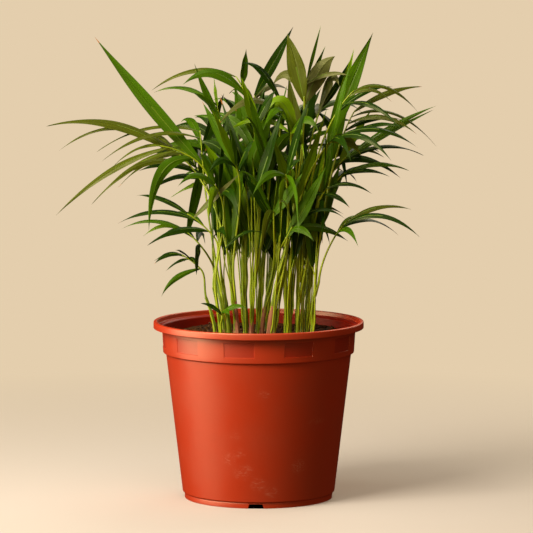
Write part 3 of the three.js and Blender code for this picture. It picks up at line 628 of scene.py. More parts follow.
class Crowd:
    """The bodies already in place, as straight stretches: where each starts, where it goes,
    the arms from its middle line to its skin, its round radius, its middle and its reach"""

    def __init__(self):
        self.owner = np.zeros(0, int)
        self.rows = np.zeros((0, 23))

    def add(self, owner, rows):
        self.owner = np.concatenate([self.owner, np.full(len(rows), owner)])
        self.rows = np.concatenate([self.rows, rows])

    def clears(self, rows, friends):
        others = self.rows[~np.isin(self.owner, friends)]
        for row in rows:
            near = np.linalg.norm(others[:, 19:22] - row[19:22], axis=1)
            close = others[near <= row[22] + others[:, 22] + CLEARANCE]
            if len(close) and not apart(row, close).all():
                return False
        return True


def stretches(points, arms, radii):
    """Rows of start, along, four arms, radius, middle and reach"""
    starts = points[:-1]
    along = points[1:] - points[:-1]
    pairs = np.concatenate([arms[:-1], arms[1:]], axis=1)
    rounds = np.maximum(radii[:-1], radii[1:])
    widest = np.maximum(np.linalg.norm(pairs, axis=2).max(axis=1), rounds)
    reach = np.linalg.norm(along, axis=1) / 2 + widest
    middles = (points[:-1] + points[1:]) / 2
    flat = pairs.reshape(len(starts), 12)
    return np.column_stack([starts, along, flat, rounds, middles, reach])


def reach_along(rows, directions):
    """How far each stretch's skin reaches from its middle line along a direction"""
    arms = rows[:, 6:18].reshape(-1, 4, 3)
    far = np.abs(np.einsum("nij,nj->ni", arms, directions)).max(axis=1)
    return np.maximum(far, rows[:, 18])


def apart(one, many):
    """True for each of many that a plane square to the shortest line parts from one"""
    along, others = one[3:6], many[:, 3:6]
    offset = one[0:3] - many[:, 0:3]
    aa = along @ along
    bb = (others * others).sum(axis=1)
    ab = others @ along
    ao = offset @ along
    bo = (others * offset).sum(axis=1)
    spread = aa * bb - ab * ab
    wide = spread > 1e-9
    s = np.where(wide, np.clip((ab * bo - ao * bb) / np.where(wide, spread, 1), 0, 1), 0)
    t = (ab * s + bo) / bb
    s = np.where(t < 0, np.clip(-ao / aa, 0, 1), np.where(t > 1, np.clip((ab - ao) / aa, 0, 1), s))
    t = np.clip(t, 0, 1)
    line = offset + s[:, None] * along - t[:, None] * others
    distance = np.linalg.norm(line, axis=1)
    touching = distance < CLEARANCE
    direction = line / np.where(touching, 1, distance)[:, None]
    ours = reach_along(np.repeat(one[None], len(many), axis=0), direction)
    theirs = reach_along(many, direction)
    return ~touching & (distance > ours + theirs + CLEARANCE)


def fullness(u):
    """Half width of a leaflet of the source along its length, as a share of the fullest"""
    grows = LEAF_ROOT + (1 - LEAF_ROOT) * np.sin(u / LEAF_FULLEST * math.pi / 2)
    wanes = np.cos(np.clip((u - LEAF_FULLEST) / (1 - LEAF_FULLEST), 0, 1) * math.pi / 2) ** LEAF_TAPER
    return np.where(u < LEAF_FULLEST, grows, wanes)


class Leaflet:
    """A leaflet's course from its root to its tip, and the way that its face turns"""

    def __init__(self, root, row, thickness=LEAF_THICKNESS):
        x, y, z, arch, width, face = row[:6]
        bend = row[6] if len(row) > 6 else 0.5
        self.root = root
        self.tip = vec(x, y, z)
        over = mix(root, self.tip, bend)
        self.control = vec(over[0], over[1], (root[2] + z) / 2 + 2 * arch)
        flat = unit(vec(x - root[0], y - root[1], 0))
        front = vec(flat[1], -flat[0], 0) * (-1 if flat[0] < 0 else 1)
        self.up = vec(0, 0, math.cos(radians(face))) + front * math.sin(radians(face))
        legs = size(self.control - root) + size(self.tip - self.control)
        self.length = (legs + size(self.tip - root)) / 2
        self.width = width
        self.arch = arch
        self.thickness = thickness * self.length

    def places(self, shares):
        """Points, directions, sideways and downward directions at shares of the length"""
        t = shares[:, None]
        points = bezier(self.root, self.control, self.tip, t)
        ahead = units(mix(self.control - self.root, self.tip - self.control, t))
        across = units(np.cross(ahead, self.up))
        return points, ahead, across, np.cross(ahead, across)

    def stretches(self, slimness=1):
        steps = ARCHED_LEAF_STEPS if abs(self.arch) > ARCHED else LEAF_STEPS
        shares = np.arange(steps + 1) / steps
        points, _, across, down = self.places(shares)
        full = fullness(shares)[:, None]
        thick = self.thickness * np.sqrt(full)
        arms = np.stack([across * (0.5 * self.width * slimness * full), down * thick], axis=1)
        return stretches(points, arms, np.zeros(steps + 1))


class Stalk:
    """A frond's petiole and rib. The first frond of a stem grows on from its tip and the
    second from its side, and a nudge bows the petiole sideways past its neighbours."""

    def __init__(self, frond, is_side, nudge):
        stem = STEMS[frond["stem"]]
        self.knee = vec(*frond["knee"])
        self.end = vec(*frond["end"])
        share = 1 - frond.get("drop", SIDE_SHOOT_DROP) / stem[5] if is_side else 1
        point, ahead, radius = stem_at(stem, share)
        self.rib_length = size(self.end - self.knee)
        self.rib_bend = mix(self.knee, self.end, 0.5) + vec(0, 0, RIB_ARCH * self.rib_length)
        rib_ahead = unit(self.rib_bend - self.knee)
        towards = unit(vec(self.knee[0] - point[0], self.knee[1] - point[1], 0))
        self.side = unit(towards - ahead * (towards @ ahead))
        self.girth = frond.get("girth", 1)
        base = self.girth * FROND_BASE_RADIUS
        step = self.side * (radius + GAP + base) if is_side else ahead * GAP
        self.start = point + step
        rise = size(self.knee - self.start)
        self.lower = self.start + ahead * (PETIOLE_FOOT_REACH * rise) + nudge
        self.upper = self.knee - rib_ahead * (PETIOLE_KNEE_REACH * rise) + nudge
        self.is_side = is_side
        self.stem_ahead = ahead

    def petiole(self, shares):
        return cubic(self.start, self.lower, self.upper, self.knee, shares[:, None])

    def rib(self, shares):
        return bezier(self.knee, self.rib_bend, self.end, shares[:, None])

    def stretches(self, slimness=1):
        rib_steps = RIB_STEPS if self.rib_length > SHORT_RIB else 1
        low = np.arange(PETIOLE_STEPS + 1) / PETIOLE_STEPS
        high = np.arange(1, rib_steps + 1) / rib_steps
        points = np.concatenate([self.petiole(low), self.rib(high)])
        radii = np.concatenate([
            mix(FROND_BASE_RADIUS, FROND_KNEE_RADIUS, low),
            mix(FROND_KNEE_RADIUS, FROND_END_RADIUS, high),
        ]) * self.girth * slimness
        return stretches(points, np.zeros((len(points), 2, 3)), radii)


def spread_rows(frond, draws):
    """Rows for a frond that has none of its own: pairs that spread from the rib"""
    knee, end = vec(*frond["knee"]), vec(*frond["end"])
    ahead = unit(end - knee)
    across = unit(np.cross(ahead, vec(0, 0, 1)))
    count = 2 * frond["pairs"] + 1
    rows = []
    for i in range(count):
        share = i / (count - 1)
        root = mix(knee, end, share)
        angle = radians((66 - 50 * share) * (0.85 + 0.3 * draws.draw())) * (1 if i % 2 else -1)
        fullest = 0.75 + 0.3 * math.sin(math.pi * (0.2 + 0.7 * share))
        length = frond["reach"] * fullest * (0.88 + 0.24 * draws.draw())
        tip = root + (ahead * math.cos(angle) + across * math.sin(angle)) * length
        arch = length * (0.1 + 0.1 * draws.draw())
        width = frond["width"] * (0.8 + 0.4 * draws.draw())
        face = 20 + 45 * draws.draw()
        rows.append((tip[0], tip[1], tip[2] - frond["droop"] * length, arch, width, face))
    return rows


def fill_rows(frond, draws):
    """Rows inside the crown, by turns standing up from the rib and hanging from it. On a
    tall frond they all hang."""
    knee, end = vec(*frond["knee"]), vec(*frond["end"])
    rows = []
    for i in range(frond.get("fill", 0)):
        root = mix(knee, end, draws.draw())
        heading = 2 * math.pi * draws.draw()
        stands = i % 2 == 0 and knee[2] < TALL
        slope = radians(55 + 24 * draws.draw() if stands else -40 - 25 * draws.draw())
        length = 58 + 34 * draws.draw()
        level = math.cos(slope)
        out = vec(math.cos(heading) * level, math.sin(heading) * level, math.sin(slope))
        tip = root + out * length
        width = 8.5 + 3.5 * draws.draw()
        face = 60 + 25 * draws.draw()
        rows.append((*tip, 2 if stands else 14, width, face, 0.5 if stands else 0.8))
    return rows


def turned_row(root, row, degrees, lift):
    """Turns a leaflet row about the upright line through its root and raises its tip"""
    x, y = row[0] - root[0], row[1] - root[1]
    cosine, sine = math.cos(radians(degrees)), math.sin(radians(degrees))
    return (root[0] + x * cosine - y * sine, root[1] + x * sine + y * cosine, row[2] + lift, *row[3:])


def clear_stalk(crowd, frond, is_side, owner, nudges=NUDGES, slimness=1):
    """The first way up between its neighbours that a petiole finds, or none"""
    for nudge in nudges:
        for i in range(NUDGE_WAYS if nudge else 1):
            angle = 2 * math.pi * i / NUDGE_WAYS
            stalk = Stalk(frond, is_side, vec(nudge * math.cos(angle), nudge * math.sin(angle), 0))
            rows = stalk.stretches(slimness)
            if crowd.clears(rows, (owner, frond["stem"])):
                crowd.add(owner, rows)
                return stalk
    return None


def clear_leaflet(crowd, root, row, owner, thickness=LEAF_THICKNESS, slimness=1):
    """The first way round its neighbours that a leaflet finds, or none"""
    for lift in LIFTS:
        for turn in TURNS:
            leaflet = Leaflet(root, turned_row(root, row, turn, lift), thickness)
            rows = leaflet.stretches(slimness)
            if crowd.clears(rows, (owner,)):
                crowd.add(owner, rows)
                return leaflet
    return None


def clear_leaflets(crowd, rooted, owner, thickness=LEAF_THICKNESS, slimness=1):
    """The leaflets that find room, from pairs of a root and a row"""
    found = [clear_leaflet(crowd, root, row, owner, thickness, slimness) for root, row in rooted]
    return [leaflet for leaflet in found if leaflet is not None]


def rooted_rows(stalk, own, extra):
    """A frond's own rows, spread evenly along its rib, and its extra ones, spread likewise"""
    shares = [LEAF_END * j / (len(own) - 1) for j in range(len(own))]
    shares += [LEAF_END * (j + 1) / (len(extra) + 1) for j in range(len(extra))]
    return zip(stalk.rib(np.array(shares)), [*own, *extra])


def grow():
    """Every frond's stalk and leaflets, placed in the source's order"""
    crowd = Crowd()
    for i, stem in enumerate(STEMS):
        places = [stem_at(stem, j / STEM_STEPS) for j in range(STEM_STEPS + 1)]
        points = np.array([place[0] for place in places])
        radii = np.array([place[2] for place in places])
        crowd.add(i, stretches(points, np.zeros((len(points), 2, 3)), radii))
    stalks = []
    taken = set()
    for i, frond in enumerate(FRONDS):
        stalks.append(clear_stalk(crowd, frond, frond["stem"] in taken, len(STEMS) + i))
        taken.add(frond["stem"])
    draws = Draws(RULE_SEED)
    leaflets = []
    for i, (frond, stalk) in enumerate(zip(FRONDS, stalks)):
        own = frond.get("leaves") or spread_rows(frond, draws)
        rooted = rooted_rows(stalk, own, fill_rows(frond, draws))
        leaflets.append(clear_leaflets(crowd, rooted, len(STEMS) + i))
    return crowd, stalks, leaflets


# Finer growth that the source leaves to this scene


def finer_rows(stalk, draws):
    """Slim leaflets between the source's own, which leave the rib to its left and right by
    turns, rise and arch over"""
    ahead = stalk.end - stalk.knee
    heading = math.atan2(ahead[1], ahead[0])
    rooted = []
    for i in range(FINER_PER_FROND):
        root = stalk.rib(np.array([draws.between(*FINER_SHARES)]))[0]
        way = heading + radians(draws.between(*FINER_WAYS)) * (1 if i % 2 else -1)
        slope = radians(draws.between(*FINER_SLOPES))
        length = draws.between(*FINER_LENGTHS)
        level = math.cos(slope) * length
        tip = root + vec(math.cos(way) * level, math.sin(way) * level, math.sin(slope) * length)
        arch = length * draws.between(*FINER_ARCHES)
        width, face = draws.between(*FINER_WIDTHS), draws.between(*FINER_FACES)
        rooted.append((root, (*tip, arch, width, face)))
    return rooted


def inside_crown(point):
    """True for a point in the dense middle of the crown, which is wider to the right"""
    low, high = CROWN_BOTTOM, CROWN_TOP
    share = (point[2] - low[2]) / (high[2] - low[2])
    if not 0 < share < 1:
        return False
    left, right = mix(low[0], high[0], share), mix(low[1], high[1], share)
    off = (point[0] - (left + right) / 2) / ((right - left) / 2)
    return off * off + (point[1] / CROWN_DEPTH) ** 2 < 1


def grow_finer(crowd, stalks, leaflets):
    """Adds the slim leaflets that find room inside the crown"""
    draws = Draws(FINER_SEED)
    for i, stalk in enumerate(stalks):
        if stalk.knee[2] >= FINER_FROM_Z:
            rows = finer_rows(stalk, draws)
            rooted = [(root, row) for root, row in rows if inside_crown(root) and inside_crown(row)]
            leaflets[i] += clear_leaflets(crowd, rooted, len(STEMS) + i, FINER_THICKNESS)


def young_frond(index, draws):
    """A young frond: a thin straight petiole and two upright leaves that open in a V"""
    stem = STEMS[index]
    tip = stem_at(stem, 1)[0]
    out = unit(vec(tip[0] - CLUMP_MIDDLE[0], tip[1] - CLUMP_MIDDLE[1], 0))
    rise = draws.between(*YOUNG_RISES)
    lean = rise * draws.between(*YOUNG_LEANS)
    knee = tip + out * lean + vec(draws.between(*YOUNG_STRAYS), draws.between(*YOUNG_STRAYS), rise)
    heading = radians(draws.between(*YOUNG_HEADINGS))
    rows = []
    for side in (1, -1):
        slope = radians(draws.between(*YOUNG_SLOPES))
        length = draws.between(*YOUNG_LENGTHS)
        level = math.cos(slope) * length * side
        blade = vec(math.cos(heading) * level, math.sin(heading) * level, math.sin(slope) * length)
        over = out * (YOUNG_OUTWARD * length)
        width = draws.between(*YOUNG_WIDTHS)
        rows.append((*(knee + blade + over), length * draws.between(*YOUNG_ARCHES), width, YOUNG_FACE))
    drop = stem[5] * draws.between(*YOUNG_DROPS)
    return dict(stem=index, knee=knee, end=knee + unit(knee - tip) * YOUNG_RIB, leaves=rows, drop=drop)


def grow_side_frond(crowd, frond, owner, nudges=NUDGES):
    """A thin stalk from a stem's side and its leaflets, or nothing where it finds no way up"""
    stalk = clear_stalk(crowd, dict(frond, girth=YOUNG_GIRTH), True, owner, nudges, YOUNG_SLIMNESS)
    if stalk is None:
        return None
    rooted = [(stalk.knee, row) for row in frond["leaves"]]
    return stalk, clear_leaflets(crowd, rooted, owner, FINER_THICKNESS, YOUNG_SLIMNESS)


def grow_seen(crowd):
    """Stalk and leaflets of each finer frond that is seen in the photograph"""
    first = len(STEMS) + len(FRONDS)
    fronds = [dict(frond, drop=SEEN_DROP) for frond in SEEN_FRONDS]
    grown = [grow_side_frond(crowd, frond, first + i) for i, frond in enumerate(fronds)]
    return [frond for frond in grown if frond is not None]


def grow_young(crowd):
    """Stalks and leaflets of each stem's young fronds that find a way up in the crown"""
    draws = Draws(YOUNG_SEED)
    stalks = [[] for _ in STEMS]
    leaflets = [[] for _ in STEMS]
    owner = len(STEMS) + len(FRONDS) + len(SEEN_FRONDS)
    for _ in range(YOUNG_PER_STEM):
        for index in range(len(STEMS)):
            frond = young_frond(index, draws)
            if not all(inside_crown(row) for row in frond["leaves"]):
                continue
            grown = grow_side_frond(crowd, frond, owner, YOUNG_NUDGES)
            if grown is not None:
                stalks[index].append(grown[0])
                leaflets[index] += grown[1]
                owner += 1
    return stalks, leaflets


# Meshes


class Shape:
    """Corners, faces, each face's look and each face corner's place on the surface"""

    def __init__(self):
        self.points = []
        self.count = 0
        self.faces = []
        self.looks = []
        self.places = []

    def add_points(self, points):
        start = self.count
        self.points.append(np.asarray(points, float).reshape(-1, 3))
        self.count += len(self.points[-1])
        return start

    def add_face(self, corners, look, places):
        self.faces.append(tuple(corners))
        self.looks.append(look)
        self.places.extend(places)

    def add_skin(self, rings, places, looks, first, last):
        """A closed skin over rings of points that turn clockwise about the way ahead, with a
        point to close it at either end. places has one column more than rings."""
        count, sides = rings.shape[:2]
        start = self.add_points(rings)
        for i in range(count - 1):
            for j in range(sides):
                k = (j + 1) % sides
                a, b = start + i * sides, start + (i + 1) * sides
                corners = (a + j, a + k, b + k, b + j)
                spots = (places[i, j], places[i, j + 1], places[i + 1, j + 1], places[i + 1, j])
                self.add_face(corners, looks[i][j], spots)
        self.add_fan(start, places[0], looks[0], first, -1)
        self.add_fan(start + (count - 1) * sides, places[-1], looks[-1], last, 1)

    def add_fan(self, start, places, looks, point, way):
        """Triangles from a ring of corners to a point. way is -1 where they turn backwards."""
        pole = self.add_points(point)
        for j, look in enumerate(looks):
            corners = (start + j, start + (j + 1) % len(looks))
            spots = (places[j], places[j + 1])
            self.add_face((*corners[::way], pole), look, (*spots[::way], places[j]))

    def make(self, name, materials, sharp=None):
        """The piece, whose edges may be sharp from an angle in degrees up"""
        mesh = bpy.data.meshes.new(name)
        points = np.concatenate(self.points) * MM
        mesh.from_pydata(points.tolist(), [], self.faces)
        for material in materials:
            mesh.materials.append(material)
        mesh.polygons.foreach_set("material_index", np.array(self.looks, np.int32))
        surface = mesh.uv_layers.new(name="surface")
        surface.data.foreach_set("uv", (np.array(self.places, float) * MM).ravel())
        mesh.shade_smooth()
        if sharp is not None:
            mesh.set_sharp_from_angle(angle=radians(sharp))
        mesh.validate()
        made = bpy.data.objects.new(name, mesh)
        bpy.context.scene.collection.objects.link(made)
        return made


def ride_as(piece, slot, *nodes):
    """Rides on the plant's one body and stands for its CAD nodes. slot is not used."""
    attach(piece, "root")
    if nodes:
        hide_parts(*nodes)


def turns_round(sides):
    return 2 * math.pi * np.arange(sides) / sides


def tube_rings(points, radii, first, sides):
    """Rings of a tube along points, whose first corner faces a given side. radii holds one
    radius for each ring and corner."""
    rings = np.zeros((len(points), sides, 3))
    turns = turns_round(sides)
    side = first
    for i, point in enumerate(points):
        ahead = unit(points[min(i + 1, len(points) - 1)] - points[max(i - 1, 0)])
        side = unit(side - ahead * (side @ ahead))
        other = np.cross(ahead, side)
        spokes = np.cos(turns)[:, None] * side + np.sin(turns)[:, None] * other
        rings[i] = point + spokes * radii[i][:, None]
    return rings


def lengths_along(points):
    steps = np.linalg.norm(np.diff(points, axis=0), axis=1)
    return np.concatenate([[0], np.cumsum(steps)])


def spread_places(across, along):
    """Places on a skin whose columns lie at one list of distances and its rings at another"""
    return np.stack(np.broadcast_arrays(across[None, :], along[:, None]), axis=2)


def tube_places(points, radius, sides):
    across = np.arange(sides + 1) / sides * 2 * math.pi * radius
    return spread_places(across, lengths_along(points))


# Materials


def tinted(colour, factor):
    return tuple(value * factor for value in colour[:3]) + (1,)


class Paint:
    """A material, its shader and the nodes that feed it. Inputs are values or other nodes'
    sockets."""

    def __init__(self, name):
        self.material = bpy.data.materials.new(name)
        self.material.use_nodes = True
        self.tree = self.material.node_tree
        self.shader = self.tree.nodes["Principled BSDF"]

    def feed(self, node, inputs):
        for key, value in inputs.items():
            if isinstance(value, bpy.types.NodeSocket):
                self.tree.links.new(value, node.inputs[key])
            else:
                node.inputs[key].default_value = value

    def finish(self, inputs):
        """Feeds the shader and gives the material"""
        self.feed(self.shader, inputs)
        return self.material

    def node(self, kind, inputs, **settings):
        made = self.tree.nodes.new(kind)
        for key, value in settings.items():
            setattr(made, key, value)
        self.feed(made, inputs)
        return made.outputs

    def object_place(self):
        return self.node("ShaderNodeTexCoord", {})["Object"]

    def surface_place(self, across, along):
        """The place on the surface, in grain widths across and grain lengths along"""
        place = self.node("ShaderNodeUVMap", {}, uv_map="surface")["UV"]
        inputs = {"Vector": place, "Scale": (1 / (across * MM), 1 / (along * MM), 1)}
        return self.node("ShaderNodeMapping", inputs)["Vector"]

    def grain(self, place, scale=1, detail=3, roughness=0.55):
        inputs = {"Vector": place, "Scale": scale, "Detail": detail, "Roughness": roughness}
        return self.node("ShaderNodeTexNoise", inputs)["Fac"]

    def remap(self, value, low, high, new_low=0, new_high=1):
        """A value's place between low and high, as one between two new ones"""
        limits = {"From Min": low, "From Max": high, "To Min": new_low, "To Max": new_high}
        return self.node("ShaderNodeMapRange", {"Value": value, **limits}, clamp=True)["Result"]

    def mix(self, share, one, two):
        return self.node("ShaderNodeMix", {0: share, 6: one, 7: two}, data_type="RGBA")[2]

    def calculate(self, operation, one, two):
        return self.node("ShaderNodeMath", {0: one, 1: two}, operation=operation)[0]

    def calculate_vector(self, operation, one, two=(0, 0, 0)):
        return self.node("ShaderNodeVectorMath", {0: one, 1: two}, operation=operation)["Vector"]

    def distance(self, place):
        return self.node("ShaderNodeVectorMath", {0: place}, operation="LENGTH")["Value"]

    def bump(self, height, distance, strength=1):
        inputs = {"Height": height, "Distance": distance * MM, "Strength": strength}
        self.feed(self.shader, {"Normal": self.node("ShaderNodeBump", inputs)["Normal"]})


def leaf_material(name, colour, roughness):
    """Waxy leaf with fine parallel veins and a soft mottle"""
    paint = Paint(name)
    veins = paint.grain(paint.surface_place(across=1.3, along=120), detail=2)
    mottle = paint.grain(paint.object_place(), scale=55)
    veined = paint.mix(paint.remap(veins, 0.35, 0.65), tinted(colour, 0.82), tinted(colour, 1.2))
    paint.bump(veins, distance=0.12, strength=0.3)
    return paint.finish({
        "Base Color": paint.mix(paint.remap(mottle, 0.3, 0.7, 0, 0.5), veined, tinted(colour, 0.7)),
        "Roughness": paint.remap(mottle, 0.3, 0.7, roughness - 0.06, roughness + 0.08),
        "Specular IOR Level": LEAF_SPECULAR,
        "Specular Tint": LEAF_GLOSS_TINT,
        "Subsurface Weight": LEAF_THROUGH,
        "Subsurface Radius": LEAF_THROUGH_TINT,
        "Subsurface Scale": LEAF_THROUGH_DEPTH * MM,
    })


def stalk_material(name, light, dark, roughness):
    """Smooth fibrous sheath or petiole with lengthwise streaks of two greens"""
    paint = Paint(name)
    streaks = paint.grain(paint.surface_place(across=1.1, along=70))
    blotch = paint.grain(paint.object_place(), scale=38, detail=2)
    streaked = paint.mix(paint.remap(streaks, 0.38, 0.62), dark, light)
    paint.bump(streaks, distance=0.2, strength=0.7)
    return paint.finish({
        "Base Color": paint.mix(paint.remap(blotch, 0.42, 0.7, 0, 0.4), streaked, dark),
        "Roughness": paint.remap(streaks, 0.3, 0.7, roughness - 0.07, roughness + 0.1),
    })


def dry_material(name, light, dark):
    """Dead tissue: papery, brown and fibrous"""
    paint = Paint(name)
    fibres = paint.grain(paint.surface_place(across=0.7, along=30), detail=4)
    paint.bump(fibres, distance=0.35)
    return paint.finish({
        "Base Color": paint.mix(paint.remap(fibres, 0.36, 0.64), dark, light),
        "Roughness": DRY_ROUGHNESS,
    })


def pot_material(name, colour, specular, is_scuffed=False):
    """Moulded plastic with a faint mottle and grain and, low on the front, pale scuffs"""
    paint = Paint(name)
    place = paint.object_place()
    mottle = paint.grain(place, scale=22, detail=4)
    shade = paint.mix(paint.remap(mottle, 0.35, 0.7, 0, 0.35), colour, tinted(colour, 0.82))
    if is_scuffed:
        shade = paint.mix(scuffs(paint, place), shade, SCUFF_COLOUR)
    paint.bump(paint.grain(place, scale=900, detail=2), distance=0.05, strength=0.4)
    return paint.finish({
        "Base Color": shade,
        "Roughness": paint.remap(mottle, 0.3, 0.7, *POT_ROUGHNESS),
        "Specular IOR Level": specular,
        "Specular Tint": POT_GLOSS_TINT,
        "IOR": POT_REFRACTION,
    })


def scuffs(paint, place):
    """Share of pale rubbed marks: patches of fine slanting streaks on the front"""
    slant = {"Vector": place, "Rotation": (0, 0.5, 0), "Scale": (0.35, 1, 1)}
    slanting = paint.node("ShaderNodeMapping", slant)["Vector"]
    streaks = paint.remap(paint.grain(slanting, scale=620, detail=4, roughness=0.65), 0.5, 0.68)
    patches = 0
    for x, z, wide, tall, strength in SCUFFS:
        middle = vec(x, -BODY_FOOT_RADIUS, z) * MM
        shares = 1 / (vec(wide, BODY_FOOT_RADIUS, tall) * MM)
        offset = paint.calculate_vector("SUBTRACT", place, tuple(middle))
        far = paint.distance(paint.calculate_vector("MULTIPLY", offset, tuple(shares)))
        patches = paint.calculate("MAXIMUM", patches, paint.remap(far, 0.2, 1, strength, 0))
    return paint.calculate("MULTIPLY", patches, streaks)


def soil_material(name, light, dark):
    """Moist potting soil: dark brown, mottled, rough"""
    paint = Paint(name)
    place = paint.object_place()
    lumps = paint.grain(place, scale=260, detail=5, roughness=0.7)
    fine = paint.grain(place, scale=1300, detail=4, roughness=0.7)
    mottled = paint.mix(paint.remap(lumps, 0.42, 0.66), dark, light)
    paint.bump(fine, distance=0.5)
    return paint.finish({
        "Base Color": paint.mix(paint.remap(fine, 0.4, 0.7, 0.35, 0), mottled, dark),
        "Roughness": paint.remap(lumps, 0.35, 0.65, 0.75, 1),
        "Specular IOR Level": SOIL_SPECULAR,
    })


def floor_material():
    """Plain pale floor, black under the pot as a painted shadow, lit near it and evenly glowing away
    from it
    """
    paint = Paint("floor")
    far = paint.distance(paint.object_place())
    # Painted shadow: under the pot the floor is black and does not glow
    clear = paint.remap(far, (FOOT_RADIUS - FOOT_RING) * MM, FOOT_RADIUS * MM)
    near_glow = paint.calculate("MULTIPLY", clear, FLOOR_GLOW_NEAR)
    lit = paint.mix(clear, BLACK, FLOOR_COLOUR)
    return paint.finish({
        "Base Color": paint.mix(paint.remap(far, FLOOR_GLOW_FROM, FLOOR_GLOW_TO), lit, BLACK),
        "Emission Strength": paint.remap(far, FLOOR_GLOW_FROM, FLOOR_GLOW_TO, near_glow, 1),
        "Emission Color": FLOOR_GLOW_COLOUR,
        "Roughness": FLOOR_ROUGHNESS,
        "Specular IOR Level": 0,
    })


# Pot


def rounded(corners):
    """An outline of radius and height whose corners are arcs. Each corner holds its radius,
    its height and how far its arc reaches along either side."""
    outline = []
    for i, (radius, z, reach) in enumerate(corners):
        here = vec(radius, z)
        if reach == 0 or i in (0, len(corners) - 1):
            outline.append(here)
            continue
        before = vec(*corners[i - 1][:2])
        after = vec(*corners[i + 1][:2])
        start = here + unit(before - here) * reach
        finish = here + unit(after - here) * reach
        outline.extend(bezier(start, here, finish, t) for t in np.linspace(0, 1, ARC_STEPS + 1))
    return np.array(outline)


def pot_outline():
    floor = FLOOR_LIFT + WALL
    low, high = PANEL_BOTTOM_Z, PANEL_TOP_Z
    return rounded([
        (0, 0, 0),
        (PAD_RADIUS, 0, 0.4),
        (PAD_RADIUS + 2, FLOOR_LIFT, 0.6),
        (FOOT_RADIUS - 3.4, FLOOR_LIFT, 0.6),
        (FOOT_RADIUS - FOOT_RING, 0, 0.4),
        (FOOT_RADIUS, 0, 0.5),
        (FOOT_RADIUS + 0.2, FOOT_HEIGHT, 0.25),
        (FOOT_RADIUS - 0.1, FOOT_HEIGHT + 0.5, 0.2),
        (BODY_FOOT_RADIUS, BODY_FOOT_Z, 0.8),
        (BODY_TOP_RADIUS, BODY_TOP_Z, 0.4),
        (COLLAR_FOOT_RADIUS, COLLAR_FOOT_Z, 0.6),
        (collar_radius(low - PANEL_EDGE), low - PANEL_EDGE, 0),
        (collar_radius(low), low, 0),
        (collar_radius(low + 0.5), low + 0.5, 0),
        (collar_radius(high - 0.5), high - 0.5, 0),
        (collar_radius(high), high, 0),
        (collar_radius(high + PANEL_EDGE), high + PANEL_EDGE, 0),
        (COLLAR_TOP_RADIUS, COLLAR_TOP_Z, 0.8),
        (LEDGE_RADIUS + RIM_WALL, POT_HEIGHT - LEDGE_DROP - WALL, 0.6),
        (LEDGE_RADIUS + RIM_WALL, POT_HEIGHT - RIM_WALL, 0.5),
        (RIM_RADIUS - RIM_WALL, POT_HEIGHT - RIM_WALL, 0.5),
        (RIM_RADIUS - RIM_WALL, RIM_FOOT_Z, 0.5),
        (RIM_RADIUS - RIM_INSET, RIM_FOOT_Z, 0.6),
        (RIM_RADIUS - RIM_INSET, POT_HEIGHT, 1.4),
        (RIM_INNER_RADIUS, POT_HEIGHT, 0.8),
        (LEDGE_RADIUS, POT_HEIGHT - LEDGE_DROP, 0.5),
        (COLLAR_TOP_RADIUS - 0.2, POT_HEIGHT - LEDGE_DROP - 0.4, 0.7),
        (COLLAR_TOP_RADIUS - WALL, POT_HEIGHT - LEDGE_DROP - 2, 0.7),
        (COLLAR_FOOT_RADIUS - WALL, COLLAR_FOOT_Z + WALL, 0.6),
        (BODY_TOP_RADIUS - WALL, BODY_TOP_Z + 0.6, 0.6),
        (BODY_FOOT_RADIUS - WALL, floor + 2, 0.8),
        (BODY_FOOT_RADIUS - 2 * WALL, floor, 0.8),
        (PAD_RADIUS + 1, floor, 0.6),
        (PAD_RADIUS - 1, WALL, 0.6),
        (0, WALL, 0),
    ])


def collar_radius(z):
    share = (z - COLLAR_FOOT_Z) / (COLLAR_TOP_Z - COLLAR_FOOT_Z)
    return COLLAR_FOOT_RADIUS + share * (COLLAR_TOP_RADIUS - COLLAR_FOOT_RADIUS)


def pot_angles():
    """Angles of the pot's columns, close together at the upright edges of the panels"""
    edge = math.degrees(PANEL_EDGE / COLLAR_TOP_RADIUS)
    pitch = 360 / PANELS
    half = PANEL_ANGLE / 2
    stops = [-half - edge, -half, -half + edge, half - edge, half, half + edge, pitch - half - edge]
    counts = [1, 1, POT_COLUMNS_PER_PANEL, 1, 1, POT_COLUMNS_PER_PANEL]
    angles = []
    for i in range(PANELS):
        middle = PANEL_START + pitch * i
        for a, b, count in zip(stops[:-1], stops[1:], counts):
            angles.extend(middle + a + (b - a) * k / count for k in range(count))
    return np.array(angles)


def panel_share(angles, z):
    """1 on a pressed panel, 0 off it"""
    edge = math.degrees(PANEL_EDGE / COLLAR_TOP_RADIUS)
    pitch = 360 / PANELS
    off = np.abs((angles - PANEL_START + pitch / 2) % pitch - pitch / 2)
    if not PANEL_BOTTOM_Z - PANEL_EDGE / 2 < z < PANEL_TOP_Z + PANEL_EDGE / 2:
        return np.zeros(len(angles))
    return np.where(off < PANEL_ANGLE / 2 + edge / 2, 1.0, 0.0)


def lowest_of_lip(outline):
    """Where the outline, on its way down inside the pot, passes the ledge under the lip"""
    inner = np.arange(len(outline)) > np.argmax(outline[:, 0] * (outline[:, 1] > POT_HEIGHT - 0.1))
    return int(np.argmax(inner & (outline[:, 1] < POT_HEIGHT - LEDGE_DROP)))


